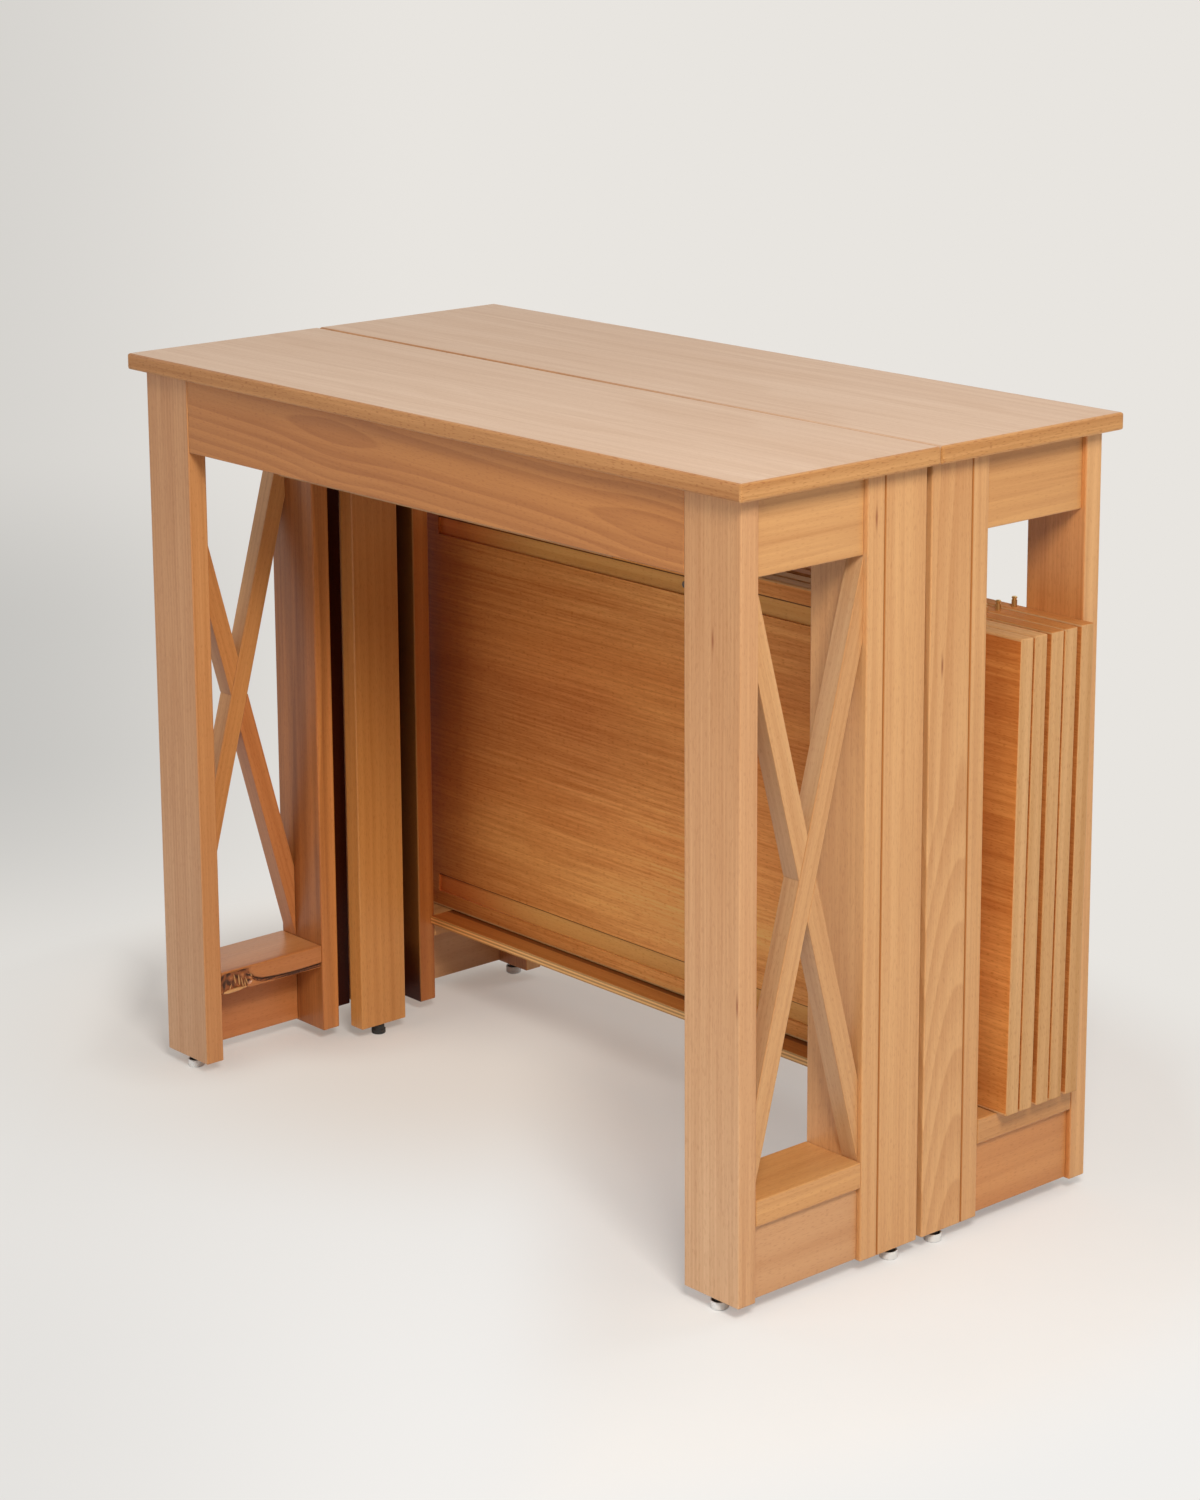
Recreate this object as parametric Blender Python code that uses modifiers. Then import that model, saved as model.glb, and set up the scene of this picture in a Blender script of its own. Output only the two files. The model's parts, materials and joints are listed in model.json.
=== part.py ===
# Transformer table: two half tables on nested slide frames, with leaves stored in the back half.
# Units are metres. X runs along the table, +Y to the back, +Z up, and the floor is at z = 0.
import math

import bmesh
import bpy
from mathutils import Vector

# Top boards
TOP_LENGTH = 0.9000
TOP_DEPTH = 0.4820
TABLE_HEIGHT = 0.7540
TOP_THICK = 0.0163
SEAM_GAP = 0.0016
OVERHANG_X = 0.0141
OVERHANG_Y = 0.0131

# Legs, inner posts and the narrow cheeks that face each other across the middle
LEG_WIDTH = 0.0700
LEG_THICK = 0.0210
CHEEK_GAP = 0.0066
CHEEK_THICK = 0.0205

# Aprons, braces, shelves and kick panels
APRON_THICK = 0.0200
APRON_HEIGHT = 0.0762
APRON_INSET = 0.0006
SIDE_APRON_HEIGHT = 0.0718
SIDE_RECESS = 0.0047
BRACE_SIZE = 0.0200
SHELF_TOP = 0.1080
SHELF_THICK = 0.0245
KICK_RISE = 0.0016

# Feet
FOOT_HEIGHT = 0.0120
FOOT_RADIUS = 0.0077
FOOT_RIM = 0.0012
FOOT_NECK_HEIGHT = 0.0032
FOOT_NECK_RADIUS = 0.0048
FOOT_STEPS = 28

# Leaves stored on edge in the back half, and the ledge they stand on
LEAF_COUNT = 5
LEAF_THICK = 0.0164
LEAF_LEAN = math.radians(1.0)
LEAF_PAIR_GAP = 0.0023
LEAF_FACE_GAP = 0.0060
LEAF_HEADROOM = 0.1039
RACK_SLACK = 0.0239
SLOT_WIDTH = 0.0200
SLOT_DEPTH = 0.0030
SLOT_MARGIN = 0.0170
SLOT_STOP = 0.0630
LEDGE_THICK = 0.0090
LEDGE_SETBACK = 0.0155

# Centre support, which rides on one of the slide frames
CENTRE_THICK = 0.0205
CENTRE_WIDTH = 0.0590
CENTRE_Y = -0.0155
CENTRE_SIDE_GAP = 0.0060
CENTRE_STAGE = 3

# Nested slide frames: two grooved runners on a cross tie
FRAME_COUNT = 8
RUNNER_BODY = 0.0110
RUNNER_GAP = 0.0010
RUNNER_HEIGHT = 0.0460
RUNNER_DROP = 0.0015
RUNNER_END_GAP = 0.0035
RUNNER_SIDE_GAP = 0.0085
TONGUE_HEIGHT = 0.0150
TONGUE_REACH = 0.0045
TONGUE_PLAY = 0.0005
TIE_WIDTH = 0.0300
TIE_HEIGHT = 0.0340
TIE_DROP = 0.0035
LUG_INSET = 0.0010
LUG_RISE = 0.0080
PAD_START = 0.0500
PAD_END_GAP = 0.0080

# Clearance between touching pieces, rounded edges and modelling aids
CLEAR = 0.0003
EASE = 0.0012
TOP_EASE = 0.0022
BRACE_EASE = 0.0007
LEDGE_EASE = 0.0006
EASE_STEPS = 2
EASE_ANGLE = math.radians(35)
CUT_OVERSHOOT = 0.0050
MERGE = 0.00001

# Heights that follow from the sizes above
TOP_UNDER = TABLE_HEIGHT - TOP_THICK
UNDER = TOP_UNDER - CLEAR
LEG_BOTTOM = FOOT_HEIGHT + CLEAR
SIDE_APRON_BOTTOM = TOP_UNDER - SIDE_APRON_HEIGHT
LEAF_WIDTH = SIDE_APRON_BOTTOM - SHELF_TOP - LEAF_HEADROOM
RUNNER_TOP = TOP_UNDER - RUNNER_DROP
RUNNER_BOTTOM = RUNNER_TOP - RUNNER_HEIGHT
TIE_TOP = RUNNER_BOTTOM - TIE_DROP
TIE_BOTTOM = TIE_TOP - TIE_HEIGHT

# Depths: the bay is as deep as the row of leaves needs, and the cheeks fill what is left in the middle
LEAF_FOOTPRINT = LEAF_THICK / math.cos(LEAF_LEAN)
LEAF_SWAY = LEAF_WIDTH * math.sin(LEAF_LEAN)
PAIR_GAPS = LEAF_COUNT // 2
FACE_GAPS = (LEAF_COUNT - 1) // 2
STACK_DEPTH = LEAF_COUNT * LEAF_FOOTPRINT + PAIR_GAPS * LEAF_PAIR_GAP + FACE_GAPS * LEAF_FACE_GAP
BAY_DEPTH = STACK_DEPTH + LEAF_SWAY + RACK_SLACK
TOP_Y = TOP_DEPTH / 2
FRAME_Y = TOP_Y - OVERHANG_Y
LEG_INNER_Y = FRAME_Y - LEG_THICK
POST_OUTER_Y = LEG_INNER_Y - BAY_DEPTH
POST_Y = POST_OUTER_Y - LEG_THICK
CHEEK_Y = (CHEEK_GAP / 2, POST_Y - CLEAR)
BAY_Y = (POST_OUTER_Y + CLEAR, LEG_INNER_Y - CLEAR)
APRON_Y = FRAME_Y - APRON_INSET
APRON_INNER_Y = APRON_Y - APRON_THICK
RUNNER_Y = APRON_INNER_Y - RUNNER_END_GAP

# Lengths
FRAME_X = TOP_LENGTH / 2 - OVERHANG_X
INNER_X = FRAME_X - LEG_WIDTH
SPAN_X = (-INNER_X + CLEAR, INNER_X - CLEAR)
SIDE_X = FRAME_X - SIDE_RECESS
CENTRE_X = INNER_X - CENTRE_SIDE_GAP
CENTRE_INNER_X = CENTRE_X - CENTRE_THICK
RUNNER_X = CENTRE_INNER_X - RUNNER_SIDE_GAP
RUNNER_PITCH = RUNNER_BODY + RUNNER_GAP

SIDES = (("left", -1), ("right", 1))
HALVES = (("front", -1), ("back", 1))

# Start from an empty scene, with one collection for the parts and one for what cuts or joins them
for old in list(bpy.data.objects):
    bpy.data.objects.remove(old, do_unlink=True)
PARTS = bpy.data.collections.new("transformer_table")
CUTTERS = bpy.data.collections.new("cutters")
bpy.context.scene.collection.children.link(PARTS)
bpy.context.scene.collection.children.link(CUTTERS)


def finish(name, colour, roughness):
    """Make one plain material."""
    material = bpy.data.materials.new(name)
    material.use_nodes = True
    shader = material.node_tree.nodes["Principled BSDF"]
    shader.inputs["Base Color"].default_value = (*colour, 1.0)
    shader.inputs["Roughness"].default_value = roughness
    shader.inputs["Metallic"].default_value = 0.0
    return material


BEECH = finish("beech", (0.62, 0.38, 0.20), 0.45)
VENEER = finish("beech_veneer", (0.58, 0.33, 0.17), 0.45)
PLYWOOD = finish("plywood", (0.60, 0.42, 0.25), 0.55)
RUNNER_WOOD = finish("runner_wood", (0.50, 0.33, 0.19), 0.55)
GLIDE = finish("white_plastic", (0.80, 0.80, 0.78), 0.40)


def body(name):
    """Make the empty that carries one moving body."""
    carrier = bpy.data.objects.new(name + "_body", None)
    PARTS.objects.link(carrier)
    return carrier


def keep(name, data, material, carrier):
    """Make an object; one with no carrier is only used to cut or join others."""
    obj = bpy.data.objects.new(name, data)
    data.materials.clear()
    data.materials.append(material)
    if carrier is None:
        CUTTERS.objects.link(obj)
        obj.hide_render = True
        obj.display_type = "WIRE"
    else:
        PARTS.objects.link(obj)
        obj.parent = carrier
    return obj


def box(name, x, y, z, material, carrier):
    """Make a box from its three ranges, with its origin at its centre."""
    ranges = [sorted(pair) for pair in (x, y, z)]
    mesh = bpy.data.meshes.new(name)
    shape = bmesh.new()
    bmesh.ops.create_cube(shape, size=1.0)
    bmesh.ops.scale(shape, vec=[high - low for low, high in ranges], verts=shape.verts)
    shape.to_mesh(mesh)
    shape.free()
    obj = keep(name, mesh, material, carrier)
    obj.location = [(low + high) / 2 for low, high in ranges]
    return obj


def ease(obj, width):
    """Round the edges of a board a little."""
    bevel = obj.modifiers.new("eased_edges", "BEVEL")
    bevel.width = width
    bevel.segments = EASE_STEPS
    bevel.limit_method = "ANGLE"
    bevel.angle_limit = EASE_ANGLE


def board(name, x, y, z, carrier, material=BEECH, width=EASE):
    """Make a straight board with eased edges."""
    ease(box(name, x, y, z, material, carrier), width)


def combine(obj, other, operation):
    """Cut or join another object with an exact Boolean."""
    boolean = obj.modifiers.new(other.name, "BOOLEAN")
    boolean.operation = operation
    boolean.solver = "EXACT"
    boolean.object = other


def extruded(name, outline, turn, centre, length, material, carrier):
    """Push a flat outline along its own normal and return it as a closed mesh object."""
    curve = bpy.data.curves.new(name, "CURVE")
    curve.dimensions = "2D"
    curve.fill_mode = "BOTH"
    curve.extrude = length / 2
    spline = curve.splines.new("POLY")
    spline.points.add(len(outline) - 1)
    for point, (across, up) in zip(spline.points, outline):
        point.co = (across, up, 0.0, 1.0)
    spline.use_cyclic_u = True
    flat = bpy.data.objects.new(name + "_outline", curve)
    CUTTERS.objects.link(flat)
    graph = bpy.context.evaluated_depsgraph_get()
    mesh = bpy.data.meshes.new_from_object(flat.evaluated_get(graph))
    shape = bmesh.new()
    shape.from_mesh(mesh)
    bmesh.ops.remove_doubles(shape, verts=shape.verts, dist=MERGE)
    bmesh.ops.recalc_face_normals(shape, faces=shape.faces)
    shape.to_mesh(mesh)
    shape.free()
    bpy.data.objects.remove(flat, do_unlink=True)
    obj = keep(name, mesh, material, carrier)
    obj.rotation_euler = turn
    obj.location = centre
    return obj


ALONG_X = (math.pi / 2, 0.0, math.pi / 2)
ALONG_Y = (math.pi / 2, 0.0, 0.0)


def clip(outline, point, normal):
    """Keep the part of an outline that lies behind a line."""
    kept = []
    for start, end in zip(outline, outline[1:] + outline[:1]):
        before = (start - point).dot(normal)
        after = (end - point).dot(normal)
        if before <= 0:
            kept.append(start)
        if before * after < 0:
            kept.append(start + (end - start) * (before / (before - after)))
    return kept


def foot(name, middle, carrier):
    """Turn one plastic glide: a round cup with a narrower neck on top."""
    cup_top = FOOT_HEIGHT - FOOT_NECK_HEIGHT
    profile = [
        (0.0, FOOT_HEIGHT),
        (FOOT_NECK_RADIUS, FOOT_HEIGHT),
        (FOOT_NECK_RADIUS, cup_top),
        (FOOT_RADIUS - FOOT_RIM / 2, cup_top),
        (FOOT_RADIUS, cup_top - FOOT_RIM / 2),
        (FOOT_RADIUS, FOOT_RIM),
        (FOOT_RADIUS - FOOT_RIM, 0.0),
        (0.0, 0.0),
    ]
    mesh = bpy.data.meshes.new(name)
    corners = [(radius, 0.0, height) for radius, height in profile]
    mesh.from_pydata(corners, [(i, i + 1) for i in range(len(corners) - 1)], [])
    obj = keep(name, mesh, GLIDE, carrier)
    obj.location = (*middle, 0.0)
    screw = obj.modifiers.new("turned", "SCREW")
    screw.steps = FOOT_STEPS
    screw.render_steps = FOOT_STEPS
    screw.use_merge_vertices = True
    screw.merge_threshold = MERGE


def half_table(half, h, carrier):
    """Build one half: top, apron, legs, posts, cheeks, side aprons, shelves, kick panels and feet."""
    whole = (-TOP_LENGTH / 2, TOP_LENGTH / 2)
    top_depth = (h * SEAM_GAP / 2, h * TOP_Y)
    board(half + "_top", whole, top_depth, (TOP_UNDER, TABLE_HEIGHT), carrier, BEECH, TOP_EASE)
    apron_depth = (h * APRON_Y, h * APRON_INNER_Y)
    board(half + "_apron", SPAN_X, apron_depth, (TOP_UNDER - APRON_HEIGHT, UNDER), carrier)
    bay = (h * BAY_Y[0], h * BAY_Y[1])
    cheek_depth = (h * CHEEK_Y[0], h * CHEEK_Y[1])
    upright = (LEG_BOTTOM, UNDER)
    shelf_bottom = SHELF_TOP - SHELF_THICK
    kick_height = (LEG_BOTTOM + KICK_RISE, shelf_bottom - CLEAR)
    for side, s in SIDES:
        wide = (s * INNER_X, s * FRAME_X)
        thin = (s * (FRAME_X - CHEEK_THICK), s * FRAME_X)
        panel = (s * (SIDE_X - APRON_THICK), s * SIDE_X)
        board("%s_leg_%s" % (half, side), wide, (h * FRAME_Y, h * LEG_INNER_Y), upright, carrier)
        board("%s_post_%s" % (half, side), wide, (h * POST_Y, h * POST_OUTER_Y), upright, carrier)
        board("%s_cheek_%s" % (half, side), thin, cheek_depth, upright, carrier)
        board("%s_side_apron_%s" % (half, side), panel, bay, (SIDE_APRON_BOTTOM, UNDER), carrier)
        board("%s_shelf_%s" % (half, side), wide, bay, (shelf_bottom, SHELF_TOP), carrier)
        board("%s_kick_%s" % (half, side), panel, bay, kick_height, carrier)
        leg_middle = (s * (FRAME_X - LEG_WIDTH / 2), h * (FRAME_Y - LEG_THICK / 2))
        foot("foot_%s_leg_%s" % (half, side), leg_middle, carrier)
        cheek_middle = (s * (FRAME_X - CHEEK_THICK / 2), sum(cheek_depth) / 2)
        foot("foot_%s_cheek_%s" % (half, side), cheek_middle, carrier)


def cross_braces(carrier):
    """Fill each side of the front half with one full diagonal and two that butt against it."""
    low = Vector((-BAY_Y[1], SHELF_TOP + CLEAR))
    high = Vector((-BAY_Y[0], SIDE_APRON_BOTTOM - CLEAR))
    low_back = Vector((high.x, low.y))
    high_front = Vector((low.x, high.y))
    window = [low, low_back, high, high_front]
    across = high - low
    slope = math.atan2(across.x, across.y) + math.asin(BRACE_SIZE / across.length)
    normal = Vector((math.cos(slope), -math.sin(slope)))
    mirrored = Vector((-normal.x, normal.y))
    full = clip(clip(window, high, -normal), low, normal)
    crossing = clip(clip(window, high_front, -mirrored), low_back, mirrored)
    upper = clip(crossing, high - normal * CLEAR, normal)
    lower = clip(crossing, low + normal * CLEAR, -normal)
    for side, s in SIDES:
        centre = (s * (SIDE_X - BRACE_SIZE / 2), 0.0, 0.0)
        for part, outline in (("full", full), ("upper", upper), ("lower", lower)):
            name = "brace_%s_%s" % (part, side)
            ease(extruded(name, outline, ALONG_X, centre, BRACE_SIZE, BEECH, carrier), BRACE_EASE)


def leaf(number, y):
    """Build one stored leaf with two stopped slots in its underside."""
    carrier = body("leaf_%d" % number)
    carrier.location = (0.0, y, SHELF_TOP + CLEAR + LEAF_THICK * math.sin(LEAF_LEAN))
    carrier.rotation_euler = (-LEAF_LEAN, 0.0, 0.0)
    half_length = TOP_LENGTH / 2
    name = "leaf_%d" % number
    plate = box(name, (-half_length, half_length), (0.0, LEAF_THICK), (0.0, LEAF_WIDTH), VENEER, carrier)
    ease(plate, EASE)
    if number % 2:
        depth = (-CUT_OVERSHOOT, SLOT_DEPTH)
    else:
        depth = (LEAF_THICK - SLOT_DEPTH, LEAF_THICK + CUT_OVERSHOOT)
    stop = half_length - SLOT_STOP
    near = (SLOT_MARGIN, SLOT_MARGIN + SLOT_WIDTH)
    far = (LEAF_WIDTH - near[1], LEAF_WIDTH - near[0])
    for edge, height in (("low", near), ("high", far)):
        slot = box("slot_%s_%s" % (name, edge), (-stop, stop), depth, height, VENEER, None)
        slot.parent = carrier
        combine(plate, slot, "DIFFERENCE")


def leaves():
    """Stand the leaves in the rack from the back leg forward, paired top face to top face."""
    y = BAY_Y[1] - LEAF_SWAY - LEAF_FOOTPRINT
    for number in range(LEAF_COUNT, 0, -1):
        leaf(number, y)
        gap = LEAF_FACE_GAP if number % 2 else LEAF_PAIR_GAP
        y -= LEAF_FOOTPRINT + gap


def runner_section(k):
    """Give the section of the right runner of frame k: a groove outside and a tongue inside."""
    outer = RUNNER_X - k * RUNNER_PITCH
    inner = outer - RUNNER_BODY
    middle = (RUNNER_TOP + RUNNER_BOTTOM) / 2
    tongue = (middle - TONGUE_HEIGHT / 2, middle + TONGUE_HEIGHT / 2)
    section = [(inner, RUNNER_BOTTOM), (outer, RUNNER_BOTTOM)]
    if k > 0:
        floor = outer - TONGUE_REACH - TONGUE_PLAY
        groove = (tongue[0] - TONGUE_PLAY, tongue[1] + TONGUE_PLAY)
        section += [(outer, groove[0]), (floor, groove[0]), (floor, groove[1]), (outer, groove[1])]
    section += [(outer, RUNNER_TOP), (inner, RUNNER_TOP)]
    if k < FRAME_COUNT - 1:
        tip = inner - RUNNER_GAP - TONGUE_REACH
        section += [(inner, tongue[1]), (tip, tongue[1]), (tip, tongue[0]), (inner, tongue[0])]
    return section


def tie_place(k):
    """Spread the cross ties along the depth, so that they draw apart as the table opens."""
    back = RUNNER_Y - TIE_WIDTH / 2 - CLEAR
    last = FRAME_COUNT - 1
    if k <= CENTRE_STAGE:
        return back + (CENTRE_Y - back) * k / CENTRE_STAGE
    return CENTRE_Y + (-back - CENTRE_Y) * (k - CENTRE_STAGE) / (last - CENTRE_STAGE)


def slide_frame(k, name, carrier, fixed_to=0):
    """Build one slide frame; a frame fixed to a half also has pads up to that half's top."""
    outer = RUNNER_X - k * RUNNER_PITCH
    lug = (outer - RUNNER_BODY + LUG_INSET, outer - LUG_INSET)
    lug_top = RUNNER_BOTTOM + LUG_RISE
    arm = [(lug[1], lug_top), (lug[0], lug_top), (lug[0], TIE_TOP)]
    if k == CENTRE_STAGE:
        reach = CENTRE_INNER_X - CLEAR
        arm = [(reach, TIE_BOTTOM), (reach, TIE_TOP), (lug[1], TIE_TOP)] + arm
    else:
        arm = [(lug[1], TIE_BOTTOM)] + arm
    outline = arm + [(-x, z) for x, z in reversed(arm)]
    frame = extruded(name, outline, ALONG_Y, (0.0, tie_place(k), 0.0), TIE_WIDTH, RUNNER_WOOD, carrier)
    for side, s in SIDES:
        section = [(s * x, z) for x, z in runner_section(k)]
        runner_name = "runner_%s_%s" % (name, side)
        runner = extruded(runner_name, section, ALONG_Y, (0.0, 0.0, 0.0), 2 * RUNNER_Y, RUNNER_WOOD, None)
        combine(frame, runner, "UNION")
        if fixed_to:
            across = (s * lug[0], s * lug[1])
            along = (fixed_to * PAD_START, fixed_to * (RUNNER_Y - PAD_END_GAP))
            height = (RUNNER_TOP - LUG_RISE, UNDER)
            pad = box("pad_%s_%s" % (name, side), across, along, height, RUNNER_WOOD, None)
            combine(frame, pad, "UNION")


def centre_support(carrier):
    """Build the two posts that hold up the middle of the opened table."""
    depth = (CENTRE_Y - CENTRE_WIDTH / 2, CENTRE_Y + CENTRE_WIDTH / 2)
    height = (LEG_BOTTOM, RUNNER_TOP)
    for side, s in SIDES:
        board("centre_post_" + side, (s * CENTRE_X, s * CENTRE_INNER_X), depth, height, carrier)
        foot("foot_centre_" + side, (s * (CENTRE_X - CENTRE_THICK / 2), CENTRE_Y), carrier)


carriers = {half: body(half + "_half") for half, h in HALVES}
for half, h in HALVES:
    half_table(half, h, carriers[half])
cross_braces(carriers["front"])
board("leaf_ledge", SPAN_X, (POST_Y + LEDGE_SETBACK, BAY_Y[1]), (SHELF_TOP - LEDGE_THICK, SHELF_TOP),
      carriers["back"], PLYWOOD, LEDGE_EASE)
leaves()
slide_frame(0, "back_slide_frame", carriers["back"], 1)
for stage in range(1, FRAME_COUNT - 1):
    stage_body = body("slide_stage_%d" % stage)
    slide_frame(stage, "slide_frame_%d" % stage, stage_body)
    if stage == CENTRE_STAGE:
        centre_support(stage_body)
slide_frame(FRAME_COUNT - 1, "front_slide_frame", carriers["front"], -1)
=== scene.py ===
# %% [markdown]
# # A transformer table in beech
#
# The table is two half frames of satin beech that pull apart on nested wooden slides. Loose leaves stand on
# edge in a rack inside the back half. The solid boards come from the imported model, which is the fixed frame
# here. This lesson gives each board its own wood, then adds the small pieces that the frame leaves out.

# %% Load the frame
import json
import math

import bpy
import mathutils
from mathutils import Euler, Matrix, Vector

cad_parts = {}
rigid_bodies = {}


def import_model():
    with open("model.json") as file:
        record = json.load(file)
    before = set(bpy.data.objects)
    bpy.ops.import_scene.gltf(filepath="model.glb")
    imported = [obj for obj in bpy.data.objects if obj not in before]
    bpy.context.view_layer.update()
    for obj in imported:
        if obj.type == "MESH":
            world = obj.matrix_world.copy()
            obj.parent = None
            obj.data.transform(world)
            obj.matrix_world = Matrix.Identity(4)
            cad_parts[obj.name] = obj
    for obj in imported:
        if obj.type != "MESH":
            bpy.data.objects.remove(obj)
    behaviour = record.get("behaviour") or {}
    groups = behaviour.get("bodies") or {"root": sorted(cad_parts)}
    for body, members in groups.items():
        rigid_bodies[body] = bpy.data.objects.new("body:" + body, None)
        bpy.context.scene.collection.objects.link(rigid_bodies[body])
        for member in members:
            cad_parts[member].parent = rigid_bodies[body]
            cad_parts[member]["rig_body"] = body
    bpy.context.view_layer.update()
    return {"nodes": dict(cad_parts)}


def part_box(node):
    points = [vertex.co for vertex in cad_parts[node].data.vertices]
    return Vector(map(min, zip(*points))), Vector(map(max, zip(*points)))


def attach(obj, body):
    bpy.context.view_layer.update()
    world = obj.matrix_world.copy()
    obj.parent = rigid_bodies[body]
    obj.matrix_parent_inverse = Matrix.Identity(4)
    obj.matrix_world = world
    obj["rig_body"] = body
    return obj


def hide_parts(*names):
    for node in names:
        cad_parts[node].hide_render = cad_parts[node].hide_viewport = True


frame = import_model()
NODES = frame["nodes"]
scene = bpy.context.scene
scene.view_settings.view_transform = "Standard"

# %% [markdown]
# ## The camera
#
# A camera can be placed by eye, but a table has so many straight edges that a fit is better: its corners in
# the photograph give the lens, the place and the three angles. A slight shift keeps the uprights upright.

# %% Camera
CAMERA_PLACE = (2.52967, -2.22224, 1.34491)
CAMERA_TURN = 0.85028
CAMERA_DIP = 0.21841
CAMERA_ROLL = -0.00573
CAMERA_LENS = 85.259
CAMERA_SENSOR = 36.0
CAMERA_SHIFT = -0.14
camera_data = bpy.data.cameras.new("camera")
camera_data.lens = CAMERA_LENS
camera_data.sensor_width = CAMERA_SENSOR
camera_data.shift_y = CAMERA_SHIFT
camera = bpy.data.objects.new("camera", camera_data)
scene.collection.objects.link(camera)
aim = Matrix.Rotation(CAMERA_TURN, 3, "Z") @ Matrix.Rotation(math.pi / 2 - CAMERA_DIP, 3, "X")
camera.rotation_euler = (aim @ Matrix.Rotation(CAMERA_ROLL, 3, "Z")).to_euler()
camera.location = CAMERA_PLACE
scene.camera = camera
print("camera", [round(value, 3) for value in camera.location], "lens", camera_data.lens)

# %% [markdown]
# ## Small helpers for shader nodes
#
# Node trees can be wired by hand in the editor. In a script, short helpers do the same: one adds a node and
# sets or links its inputs, and the others do arithmetic, mix colours or turn a value into a soft step.


# %% Node helpers
def add(tree, kind, inputs=None, **settings):
    """Add a shader node, set its settings, and set or link its inputs."""
    made = tree.nodes.new("ShaderNode" + kind)
    for key, value in settings.items():
        setattr(made, key, value)
    for key, value in (inputs or {}).items():
        if isinstance(value, bpy.types.NodeSocket):
            tree.links.new(value, made.inputs[key])
        else:
            made.inputs[key].default_value = value
    return made


def maths(tree, operation, first, second=0.0):
    """Do one step of arithmetic on values."""
    return add(tree, "Math", {0: first, 1: second}, operation=operation).outputs[0]


def times(tree, value, *others):
    """Multiply values."""
    for other in others:
        value = maths(tree, "MULTIPLY", value, other)
    return value


def plus_share(tree, base, value, share):
    """Add a share of a value to a base."""
    return maths(tree, "ADD", base, times(tree, value, share))


def apart(tree, value, centre):
    """Give how far a value is from a centre, to either side."""
    return maths(tree, "ABSOLUTE", maths(tree, "SUBTRACT", value, centre))


def step(tree, value, low, high):
    """Rise softly from 0 at low to 1 at high."""
    inputs = {"Value": value, "From Min": low, "From Max": high}
    return add(tree, "MapRange", inputs, interpolation_type="SMOOTHSTEP").outputs[0]


def near_rim(tree, distance, reach, depths):
    """Rise softly from 0 to 1 between two depths inside a rim."""
    return step(tree, distance, reach - depths[0], reach - depths[1])


def mix(tree, factor, first, second, blend="MIX"):
    """Mix two colours."""
    inputs = {0: factor, 6: first, 7: second}
    return add(tree, "Mix", inputs, data_type="RGBA", blend_type=blend).outputs[2]


def tint(tree, mask, colour, tone):
    """Multiply a colour by a tone where a mask is 1."""
    return mix(tree, mask, colour, tone, "MULTIPLY")


print("helpers for values and colours ready")


# %% Vector helpers
def vectors(tree, operation, first, second=(0.0, 0.0, 0.0)):
    """Do one step of arithmetic on vectors."""
    return add(tree, "VectorMath", {0: first, 1: second}, operation=operation)


def split(tree, vector):
    """Give the three parts of a vector."""
    return add(tree, "SeparateXYZ", {0: vector}).outputs


def far_from(tree, vector, point):
    """Give the distance from a point."""
    return vectors(tree, "DISTANCE", vector, point).outputs["Value"]


def noise(tree, vector, stretch, detail=1.0):
    """Make noise that is stretched by its own number of cells per metre along each axis."""
    cells = vectors(tree, "MULTIPLY", vector, stretch).outputs[0]
    return add(tree, "TexNoise", {"Vector": cells, "Scale": 1.0, "Detail": detail})


def new_group(name, inputs, outputs):
    """Start a node group with named sockets, and return it with its two end nodes."""
    group = bpy.data.node_groups.new(name, "ShaderNodeTree")
    for label, kind, default in inputs:
        socket = group.interface.new_socket(label, in_out="INPUT", socket_type="NodeSocket" + kind)
        if default is not None:
            socket.default_value = default
    for label, kind in outputs:
        group.interface.new_socket(label, in_out="OUTPUT", socket_type="NodeSocket" + kind)
    return group, group.nodes.new("NodeGroupInput").outputs, group.nodes.new("NodeGroupOutput").inputs


print("helpers for vectors and groups ready")

# %% [markdown]
# ## Floor
#
# The table was shot in a studio on a pale sweep that is greyer on its left and brighter near the camera. A
# modelled sweep would hide the light from behind, so the floor is one wide disc. Near the table it is paper
# that takes the shadows, and further out it fades into a glow. The grey on the left and in the cove is
# painted shade on the glow and the paper. A warm painted shadow darkens the glow under the table, and painted
# light brightens it towards the camera.

# %% Floor disc
FLOOR_RADIUS = 40.0
bpy.ops.object.select_all(action="DESELECT")
bpy.ops.mesh.primitive_circle_add(vertices=96, radius=FLOOR_RADIUS, fill_type="NGON")
floor = bpy.context.object
floor.name = "floor"
floor_material = bpy.data.materials.new("studio_floor")
floor_material.use_nodes = True
floor.data.materials.append(floor_material)
print("floor radius", FLOOR_RADIUS)

# %% Places on the floor
# The left fan and the cove below say where painted shade greys the floor.
FAN_DEPTH = 3.367
LEFT_RISE = (-0.04, -0.20)
LEFT_FALL = (-0.60, -0.30)
LEFT_NEAR = (1.0, 2.3)
COVE_RISE = (0.5, 1.4)
COVE_FALL = (3.6, 2.0)
RIGHTWARD = (math.cos(CAMERA_TURN), math.sin(CAMERA_TURN), 0.0)
AWAY = (-math.sin(CAMERA_TURN), math.cos(CAMERA_TURN), 0.0)
tree = floor_material.node_tree
tree.nodes.clear()
place = add(tree, "TexCoord").outputs["Object"]
across = vectors(tree, "DOT_PRODUCT", place, RIGHTWARD).outputs["Value"]
depth = vectors(tree, "DOT_PRODUCT", place, AWAY).outputs["Value"]
forward = maths(tree, "ADD", depth, FAN_DEPTH)
fan = maths(tree, "DIVIDE", across, forward)
left = times(tree, step(tree, fan, *LEFT_RISE), step(tree, fan, *LEFT_FALL), step(tree, forward, *LEFT_NEAR))
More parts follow.
